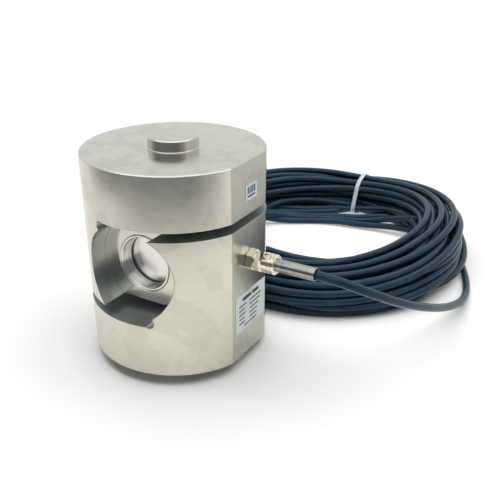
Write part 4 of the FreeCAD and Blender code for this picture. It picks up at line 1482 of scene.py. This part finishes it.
    def _settle(
        self, radius: np.ndarray, height: np.ndarray, astray: np.ndarray, low: np.ndarray
    ) -> tuple[np.ndarray, np.ndarray]:
        """Pushes overlapping turns apart and lets them sink, while the cable stays stiff.

        Args:
            radius: Radii that the turns are drawn to.
            height: Heights that the turns are drawn to.
            astray: Share of each point that belongs to a stray stretch.
            low: Lowest height at each point, which the floor or the tie's strap sets.

        Returns:
            Settled radii and heights.
        """
        count = len(radius)
        laps = math.ceil(count / self.steps)
        spare = laps * self.steps - count
        real = np.concatenate([np.ones(count, bool), np.zeros(spare, bool)]).reshape(laps, self.steps)
        one, other = np.triu_indices(laps, 1)
        pair = real[one] & real[other]
        hold = 1.0 - (self.draw + self.stray_draw * astray)
        ends = (self.start_radius, self.end_radius)
        new_radius, new_height = radius.copy(), height.copy()
        for _ in range(self.rounds):
            aside, up = new_radius - radius, new_height - height
            self._smooth(aside, up, self.evening, 1)
            new_radius = radius + hold * aside
            new_height = height + hold * up - self.sink
            for _ in range(self.pushes):
                grid_r = np.concatenate([new_radius, np.zeros(spare)]).reshape(laps, self.steps)
                grid_z = np.concatenate([new_height, np.zeros(spare)]).reshape(laps, self.steps)
                step_r = grid_r[one] - grid_r[other]
                step_z = grid_z[one] - grid_z[other]
                gap = np.sqrt(step_r ** 2 + step_z ** 2) + self.least_gap
                push = np.where(pair & (gap < self.diameter), self.push * (self.diameter - gap) / gap, 0.0)
                for grid, step in ((grid_r, push * step_r), (grid_z, push * step_z)):
                    np.add.at(grid, one, step)
                    np.add.at(grid, other, -step)
                new_radius = grid_r.ravel()[:count]
                new_height = np.maximum(grid_z.ravel()[:count], low)
            new_radius[0], new_radius[-1] = ends
            new_height[0] = new_height[-1] = self.diameter / 2
        return new_radius, new_height


@dataclass
class Cable:
    """The free cable: out of the bend sleeve, round the coil and out to its bare end."""

    diameter: float = 5.6 * MM
    length: float = 20.0
    exit: Point = (0.0965, 0.0, GLAND_HEIGHT)
    lead: tuple[Point, ...] = (
        (0.0805, 0.0, 0.0717), (0.106, 0.0, 0.0717), (0.126, 0.013, 0.061), (0.138, 0.036, 0.0465),
        (0.1455, 0.062, 0.033), (0.150, 0.088, 0.021), (0.1535, 0.114, 0.011), (0.155, 0.140, 0.0044),
        (0.1505, 0.165, 0.0028), (0.142, 0.189, 0.0028),
    )
    tail: tuple[Point, ...] = (
        (-0.0951, 0.148, 0.0028), (-0.0901, 0.126, 0.0028), (-0.0821, 0.105, 0.0028),
        (-0.0721, 0.0855, 0.0028),
    )
    replaced: tuple[str, ...] = ("cable_lead", "cable_coil", "cable_tail")
    order: int = 3
    fineness: int = 4

    def build(self) -> tuple[bpy.types.Object, CoilLay]:
        """Builds the cable as one smooth line.

        Returns:
            The cable and the turns of its coil.
        """
        lay = CoilWinder(self.diameter).wind()
        points = [*self.lead, *lay.points(), *self.tail]
        curve = bpy.data.curves.new("cable", "CURVE")
        curve.dimensions = "3D"
        line = curve.splines.new("NURBS")
        line.points.add(len(points) - 1)
        for knot, point in zip(line.points, points):
            knot.co = (*point, 1.0)
            knot.radius = self.diameter / 2
        line.order_u = self.order
        line.use_endpoint_u = True
        line.resolution_u = self.fineness
        line.use_smooth = True
        curve.bevel_depth = 1.0
        curve.bevel_resolution = self.fineness
        curve.use_fill_caps = True
        cable = add_piece("cable", curve)
        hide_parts(*self.replaced)
        dress(cable, CABLE_JACKET)
        return cable, lay


@dataclass
class Tie:
    """The nylon strap round the coil, with its locking head and its cut end."""

    angle: float = 90.0
    bundle_inner: float = 0.070
    width: float = 3.8 * MM
    thickness: float = 1.1 * MM
    rail: float = 0.55 * MM
    hollow: float = 0.2 * MM
    edge: float = 0.15 * MM
    clearance: float = 0.1 * MM
    fan: int = 24
    stations: int = 120
    evenings: int = 3
    sharp: float = 35.0
    head: Point = (0.0054, 0.0042, 0.0056)
    head_gap: float = 0.3 * MM
    head_round: float = 0.7 * MM
    head_segments: int = 3
    head_height: float = 0.016
    end_length: float = 0.007
    end_share: float = 0.9
    end_shift: float = 0.2 * MM
    end_round: float = 0.2 * MM
    end_segments: int = 2
    fullness: float = 0.6

    def build(self, lay: CoilLay, diameter: float) -> bpy.types.Object:
        """Builds the tie round the turns that it holds.

        Args:
            lay: The coil's turns.
            diameter: The cable's diameter.

        Returns:
            The tie.
        """
        held = [place for place in lay.crossing(self.angle) if place[0] > self.bundle_inner]
        ring = self._ring(held, diameter / 2 + self.clearance)
        shape = bmesh.new()
        self._strap(shape, lay.centre, ring)
        self._lock(shape, lay.centre, ring)
        turn_outwards(shape, True)
        mesh = bpy.data.meshes.new("cable_tie_strap")
        fill_mesh(mesh, shape)
        mesh.set_sharp_from_angle(angle=math.radians(self.sharp))
        tie = add_piece("cable_tie_strap", mesh)
        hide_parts("cable_tie")
        dress(tie, TIE_NYLON)
        return tie

    def _ring(self, held: list[tuple[float, float]], reach: float) -> np.ndarray:
        """Draws the tight line round the held turns.

        Args:
            held: Radius and height of each turn.
            reach: Distance of the line from a turn's middle.

        Returns:
            Evenly spaced points of radius and height.
        """
        fan = np.linspace(0.0, FULL_TURN, self.fan, endpoint=False)
        rims = [(r + reach * math.cos(a), max(0.0, z + reach * math.sin(a))) for r, z in held for a in fan]
        hull = np.array(self._hull(sorted(rims)))
        loop = np.vstack([hull, hull[:1]])
        run = np.concatenate([[0.0], np.cumsum(np.linalg.norm(np.diff(loop, axis=0), axis=1))])
        even = np.linspace(0.0, run[-1], self.stations, endpoint=False)
        ring = np.stack([np.interp(even, run, loop[:, k]) for k in range(2)], axis=1)
        for _ in range(self.evenings):
            ring = 0.5 * ring + 0.25 * (np.roll(ring, 1, axis=0) + np.roll(ring, -1, axis=0))
        return ring

    @staticmethod
    def _hull(places: list[tuple[float, float]]) -> list[tuple[float, float]]:
        """Finds the convex line round some points.

        Args:
            places: Points in order of their first number.

        Returns:
            The line's corners, anticlockwise.
        """
        corners: list[tuple[float, float]] = []
        for run in (places, places[::-1]):
            base = len(corners)
            for place in run:
                while len(corners) - base >= 2:
                    (ax, ay), (bx, by) = corners[-2], corners[-1]
                    if (bx - ax) * (place[1] - ay) - (by - ay) * (place[0] - ax) > 0.0:
                        break
                    corners.pop()
                corners.append(place)
            corners.pop()
        return corners

    def _section(self) -> list[tuple[float, float]]:
        """Gives the strap's section: place across it and height over the bundle.

        Returns:
            The section's corners, in order.
        """
        half = self.width / 2
        top = self.thickness
        side = [
            (half, 0.0), (half, top - self.edge), (half - self.edge, top),
            (half - self.rail, top), (half - self.rail - self.edge, top - self.hollow),
        ]
        return side + [(-across, rise) for across, rise in reversed(side)]

    def _strap(self, shape: bmesh.types.BMesh, centre: tuple[float, float], ring: np.ndarray) -> None:
        """Sweeps the strap's section round the bundle.

        Args:
            shape: Mesh to add to.
            centre: The coil's middle.
            ring: Line round the bundle.
        """
        ahead = np.roll(ring, -1, axis=0) - np.roll(ring, 1, axis=0)
        ahead /= np.linalg.norm(ahead, axis=1)[:, None]
        section = self._section()
        loops = []
        for (r, z), (dr, dz) in zip(ring, ahead):
            loops.append([
                shape.verts.new((centre[0] + across, centre[1] + r + rise * dz, z - rise * dr))
                for across, rise in section
            ])
        for here, there in zip(loops, loops[1:] + loops[:1]):
            for k in range(len(section)):
                after = (k + 1) % len(section)
                shape.faces.new((here[k], here[after], there[after], there[k]))

    def _lock(self, shape: bmesh.types.BMesh, centre: tuple[float, float], ring: np.ndarray) -> None:
        """Adds the locking head on the bundle's outside, and the strap's cut end above it.

        Args:
            shape: Mesh to add to.
            centre: The coil's middle.
            ring: Line round the bundle.
        """
        outside = ring[ring[:, 0] > ring[:, 0].mean()]
        radius = float(outside[np.argmin(np.abs(outside[:, 1] - self.head_height))][0])
        face = centre[1] + radius + self.head_gap
        middle = Vector((centre[0], face + self.head[1] / 2, self.head_height))
        self._rounded_block(shape, middle, self.head, self.head_round, self.head_segments)
        end = (self.width * self.end_share, self.thickness, self.end_length + self.head[2] / 2)
        place = middle + Vector((0.0, self.end_shift, end[2] / 2))
        self._rounded_block(shape, place, end, self.end_round, self.end_segments)

    def _rounded_block(
        self, shape: bmesh.types.BMesh, middle: Vector, size: Point, radius: float, segments: int
    ) -> None:
        """Adds a block with rounded edges.

        Args:
            shape: Mesh to add to.
            middle: The block's middle.
            size: Its sides along X, Y and Z.
            radius: How far the rounding reaches from an edge.
            segments: Number of steps in the rounding.
        """
        edges = list({edge for corner in add_block(shape, middle, size) for edge in corner.link_edges})
        bmesh.ops.bevel(
            shape, geom=edges, offset=radius, segments=segments, profile=self.fullness, affect="EDGES"
        )


@dataclass(frozen=True)
class Core:
    """How a bare core leaves the jacket: its place on the end face, its spread and its reach."""

    color: str
    place: float
    spread: float
    reach: float


@dataclass
class BareEnd:
    """The cable's bare end: coloured cores, the twisted shield and the stripped tips."""

    end: Point = (-0.0721, 0.0855, 0.0)
    before: Point = (-0.0821, 0.105, 0.0)
    core_radius: float = 0.65 * MM
    touch: float = 0.64
    turn: float = 0.4
    strand: float = 0.19 * MM
    strip: float = 5.0 * MM
    hidden: float = 1.0 * MM
    twist: float = 2.2
    rings: int = 14
    sides: int = 7
    shield: str = "core_shield"
    cores: tuple[Core, ...] = (
        Core("red", -0.0012, -0.009, 0.030), Core("black", -0.0012, -0.004, 0.033),
        Core("green", 0.0012, 0.0045, 0.031), Core("white", 0.0012, 0.0095, 0.028),
    )

    def build(self, nodes: Nodes) -> list[bpy.types.Object]:
        """Dresses the cores and builds their stripped tips.

        Args:
            nodes: CAD nodes by name.

        Returns:
            The pieces that the cable carries.
        """
        carried = [nodes[self.shield]]
        dress(nodes[self.shield], BRAID_STEEL)
        points: list[Point] = []
        faces: list[tuple[int, ...]] = []
        for core in self.cores:
            node = nodes[f"core_{core.color}"]
            dress(node, INSULATION[core.color])
            carried.append(node)
            self._tip(core, points, faces)
        tips = add_piece("core_tips", mesh_from("core_tips", points, faces, True))
        dress(tips, BRAID_STEEL)
        return [*carried, tips]

    def _tip(self, core: Core, points: list[Point], faces: list[tuple[int, ...]]) -> None:
        """Adds the twisted strands that show at a core's end.

        Args:
            core: The core.
            points: Vertices so far, added to.
            faces: Faces so far, added to.
        """
        up = Vector((0.0, 0.0, 1.0))
        ahead = (Vector(self.end) - Vector(self.before)).normalized()
        aside = ahead.cross(up).normalized()
        start = Vector(self.end) + aside * core.place
        last = start + ahead * core.reach + aside * core.spread
        knee = start + ahead * (self.touch * core.reach) + aside * (self.turn * core.spread)
        along = (last - knee).normalized()
        side = along.cross(up).normalized()
        foot = last + up * self.core_radius - along * self.hidden
        for strand in range(self.sides):
            offset = 0.0 if strand == 0 else 2.0 * self.strand
            phase = FULL_TURN * strand / (self.sides - 1)
            first = len(points)
            for ring in range(self.rings):
                part = ring / (self.rings - 1)
                swing = phase + self.twist * part
                middle = foot + along * (part * (self.strip + self.hidden))
                middle += (side * math.cos(swing) + up * math.sin(swing)) * offset
                for step in range(self.sides):
                    turn = FULL_TURN * step / self.sides
                    spot = middle + (side * math.cos(turn) + up * math.sin(turn)) * self.strand
                    points.append(tuple(spot))
            for ring in range(self.rings - 1):
                for step in range(self.sides):
                    after = (step + 1) % self.sides
                    low = first + ring * self.sides
                    faces.append((low + step, low + after, low + self.sides + after, low + self.sides + step))
            faces.append(tuple(range(first, first + self.sides)))
            far = first + (self.rings - 1) * self.sides
            faces.append(tuple(range(far, far + self.sides)))


@dataclass(frozen=True)
class DimBand:
    """A band of the dim room: degrees to each side of the camera, and its edges as radius and height.

    It grows dim between the two distances of its reach.
    """

    name: str
    left: float
    right: float
    fade: float
    near: tuple[float, float]
    far: tuple[float, float]
    reach: Range


@dataclass
class Studio:
    """The camera, the pale floor, the soft overhead lamp, the white surroundings and the dim room."""

    eye: Point = (0.2411, -0.3313, 0.2558)
    heading: float = 29.62
    dip: float = 25.1
    lens: float = 50.515
    sensor: float = 36.0
    ambient: float = 0.45
    ambient_low: float = 0.03
    ambient_rise: Range = (0.3, 0.9)
    ambient_color: Color = (0.92, 0.97, 1.0)
    metal_sky: Color = (0.83, 0.855, 0.815)
    metal_zenith: Color = (1.48, 1.46, 1.40)
    zenith_rise: Range = (0.66, 0.74)
    floor_side: float = 8.0
    floor_color: Color = (0.93, 0.935, 0.94)
    metal_floor: Color = (0.935, 0.918, 0.853)
    floor_middle: Point = (0.04, 0.02, 0.0)
    glow_start: float = 0.14
    glow_full: float = 0.36
    lamp_place: Point = (0.0, 0.15, 1.40)
    lamp_aim: Point = (0.0, 0.15, 0.0)
    lamp_sides: tuple[float, float] = (2.4, 1.2)
    lamp_power: float = 28.0
    lamp_color: Color = (1.0, 0.985, 0.955)
    room_bands: tuple[DimBand, ...] = (
        DimBand("dim_floor", 80.0, 62.0, 48.0, (0.23, 0.4 * MM), (0.37, 0.4 * MM), (0.23, 0.48)),
        DimBand("dim_far_floor", 118.0, 62.0, 40.0, (0.37, 0.4 * MM), (0.48, 0.4 * MM), (0.30, 0.44)),
        DimBand("dim_wall", 118.0, 62.0, 40.0, (0.48, 0.4 * MM), (0.48, 0.34), (0.0, 0.4)),
    )
    room_steps: int = 48
    room_tones: tuple[tuple[float, Color], ...] = (
        (0.0, (0.96, 0.935, 0.85)), (0.3, (0.58, 0.57, 0.53)), (0.6, (0.34, 0.35, 0.34)),
        (1.0, (0.15, 0.175, 0.195)),
    )

    def build(self) -> None:
        """Builds the whole studio."""
        bpy.context.scene.view_settings.view_transform = "Standard"
        self._camera()
        self._world()
        self._lamp()
        self._floor()
        for band in self.room_bands:
            self._room(band)
        LOG.info("studio built")

    def _camera(self) -> None:
        """Puts the camera at the photograph's place."""
        data = bpy.data.cameras.new("camera")
        data.lens = self.lens
        data.sensor_width = self.sensor
        camera = add_object("camera", data)
        camera.location = self.eye
        camera.rotation_euler = (math.radians(90.0 - self.dip), 0.0, math.radians(self.heading))
        bpy.context.scene.camera = camera

    @staticmethod
    def _seen(sheet: NodeSheet) -> bpy.types.NodeSocket:
        """Tells rays that show the background from rays that only light the object.

        Args:
            sheet: Sheet of a stage material or the world.

        Returns:
            One for camera, glossy and transmission rays, and otherwise zero.
        """
        path = sheet.add("ShaderNodeLightPath")
        mirrored = sheet.math("MAXIMUM", path.outputs["Is Glossy Ray"], path.outputs["Is Transmission Ray"])
        return sheet.math("MAXIMUM", path.outputs["Is Camera Ray"], mirrored)

    def _world(self) -> None:
        """Makes white surroundings that light the object at a plain level."""
        world = bpy.data.worlds.new("surroundings")
        world.use_nodes = True
        bpy.context.scene.world = world
        sheet = NodeSheet(world.node_tree)
        sheet.tree.nodes.clear()
        path = sheet.add("ShaderNodeLightPath")
        heading = sheet.add("ShaderNodeSeparateXYZ")
        sheet.feed(heading.inputs["Vector"], sheet.add("ShaderNodeTexCoord").outputs["Generated"])
        upward = heading.outputs["Z"]
        overhead = sheet.remap(upward, *self.zenith_rise, 0.0, 1.0)
        mirrored = sheet.mix(overhead, self.metal_sky, self.metal_zenith)
        color = sheet.mix(path.outputs["Is Camera Ray"], self.ambient_color, WHITE)
        color = sheet.mix(path.outputs["Is Glossy Ray"], color, mirrored)
        light = sheet.remap(upward, *self.ambient_rise, self.ambient_low, self.ambient)
        back = sheet.add("ShaderNodeBackground")
        sheet.feed(back.inputs["Color"], color)
        sheet.feed(back.inputs["Strength"], sheet.remap(self._seen(sheet), 0.0, 1.0, light, 1.0))
        output = sheet.add("ShaderNodeOutputWorld")
        sheet.feed(output.inputs["Surface"], back.outputs["Background"])

    def _lamp(self) -> None:
        """Hangs one large soft lamp over the object, which metal mirrors as the pale zenith."""
        data = bpy.data.lights.new("overhead", "AREA")
        data.shape = "RECTANGLE"
        data.size, data.size_y = self.lamp_sides
        data.energy = self.lamp_power
        data.color = self.lamp_color
        lamp = add_object("overhead", data)
        lamp.location = self.lamp_place
        aim = Vector(self.lamp_aim) - Vector(self.lamp_place)
        lamp.rotation_euler = aim.to_track_quat("-Z", "Y").to_euler()
        lamp.visible_glossy = False

    def _floor(self) -> None:
        """Lays the pale floor, which keeps the object's shadow."""
        half = self.floor_side / 2
        corners = [(-half, -half, 0.0), (half, -half, 0.0), (half, half, 0.0), (-half, half, 0.0)]
        floor = add_object("floor", mesh_from("floor", corners, [(0, 1, 2, 3)], False))
        material, sheet = blank_material("pale_floor")
        glossy = sheet.add("ShaderNodeLightPath").outputs["Is Glossy Ray"]
        matt = sheet.add("ShaderNodeBsdfDiffuse")
        sheet.feed(matt.inputs["Color"], sheet.mix(glossy, self.floor_color, self.metal_floor))
        glow = sheet.add("ShaderNodeEmission")
        sheet.feed(glow.inputs["Color"], sheet.mix(glossy, WHITE, self.metal_floor))
        place = sheet.add("ShaderNodeTexCoord").outputs["Object"]
        away = sheet.vector("DISTANCE", place, self.floor_middle).outputs["Value"]
        far = sheet.remap(away, self.glow_start, self.glow_full, 0.0, 1.0)
        blend = sheet.add("ShaderNodeMixShader")
        sheet.feed(blend.inputs[0], sheet.times(self._seen(sheet), far))
        sheet.feed(blend.inputs[1], matt.outputs["BSDF"])
        sheet.feed(blend.inputs[2], glow.outputs["Emission"])
        show_surface(sheet, blend.outputs["Shader"])
        floor.data.materials.append(material)

    def _room(self, band: DimBand) -> None:
        """Stands a band of the dim room behind the camera, which only reflections show.

        Args:
            band: The band.
        """
        middle = math.degrees(math.atan2(self.eye[1], self.eye[0]))
        first, last = middle - band.left, middle + band.right
        points: list[Point] = []
        faces: list[tuple[int, ...]] = []
        for step in range(self.room_steps + 1):
            angle = math.radians(first + (last - first) * step / self.room_steps)
            outward = (math.cos(angle), math.sin(angle))
            for radius, height in (band.near, band.far):
                points.append((radius * outward[0], radius * outward[1], height))
        for step in range(self.room_steps):
            low = 2 * step
            faces.append((low, low + 1, low + 3, low + 2))
        room = add_object(band.name, mesh_from(band.name, points, faces, True))
        room.visible_camera = False
        room.visible_diffuse = False
        room.visible_shadow = False
        room.visible_transmission = False
        room.data.materials.append(self._room_glow(band, first, last))

    def _room_glow(self, band: DimBand, first: float, last: float) -> bpy.types.Material:
        """Makes a band's glow, which grows dim away from the object and is pale again at both ends.

        Args:
            band: The band.
            first: Angle of its first end, in degrees.
            last: Angle of its last end, in degrees.

        Returns:
            The new material.
        """
        material, sheet = blank_material(band.name)
        place = sheet.add("ShaderNodeTexCoord").outputs["Object"]
        flat = sheet.vector("MULTIPLY", place, (1.0, 1.0, 0.0)).outputs["Vector"]
        reach = sheet.vector("LENGTH", flat).outputs["Value"]
        dim = sheet.remap(reach, *band.reach, 0.0, 1.0)
        parts = sheet.add("ShaderNodeSeparateXYZ")
        sheet.feed(parts.inputs["Vector"], place)
        turn = sheet.math("ARCTAN2", parts.outputs["Y"], parts.outputs["X"])
        left = sheet.remap(turn, math.radians(first), math.radians(first + band.fade), 0.0, 1.0)
        right = sheet.remap(turn, math.radians(last), math.radians(last - band.fade), 0.0, 1.0)
        ramp = sheet.add("ShaderNodeValToRGB")
        sheet.feed(ramp.inputs["Fac"], sheet.times(dim, sheet.times(left, right)))
        stops = ramp.color_ramp.elements
        for position, _ in self.room_tones[1:-1]:
            stops.new(position)
        for stop, (_, tone) in zip(stops, self.room_tones):
            stop.color = (*tone, 1.0)
        glow = sheet.add("ShaderNodeEmission")
        sheet.feed(glow.inputs["Color"], ramp.outputs["Color"])
        show_surface(sheet, glow.outputs["Emission"])
        return material


def main() -> None:
    """Builds the dressed load cell and its studio."""
    logging.basicConfig(level=logging.INFO)
    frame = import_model()
    nodes: Nodes = frame["nodes"]
    Studio().build()
    cable_run = Cable()
    cable, lay = cable_run.build()
    LOG.info("cable laid with %d points in its coil", len(lay.radius))
    tie = Tie().build(lay, cable_run.diameter)
    carried = BareEnd().build(nodes)
    SpringBody().build(nodes)
    for side in Side:
        SealedBore(side).build(nodes)
    Bridge().build(nodes)
    Gland().build(nodes)
    Labels().build(nodes)


if __name__ == "__main__":
    main()
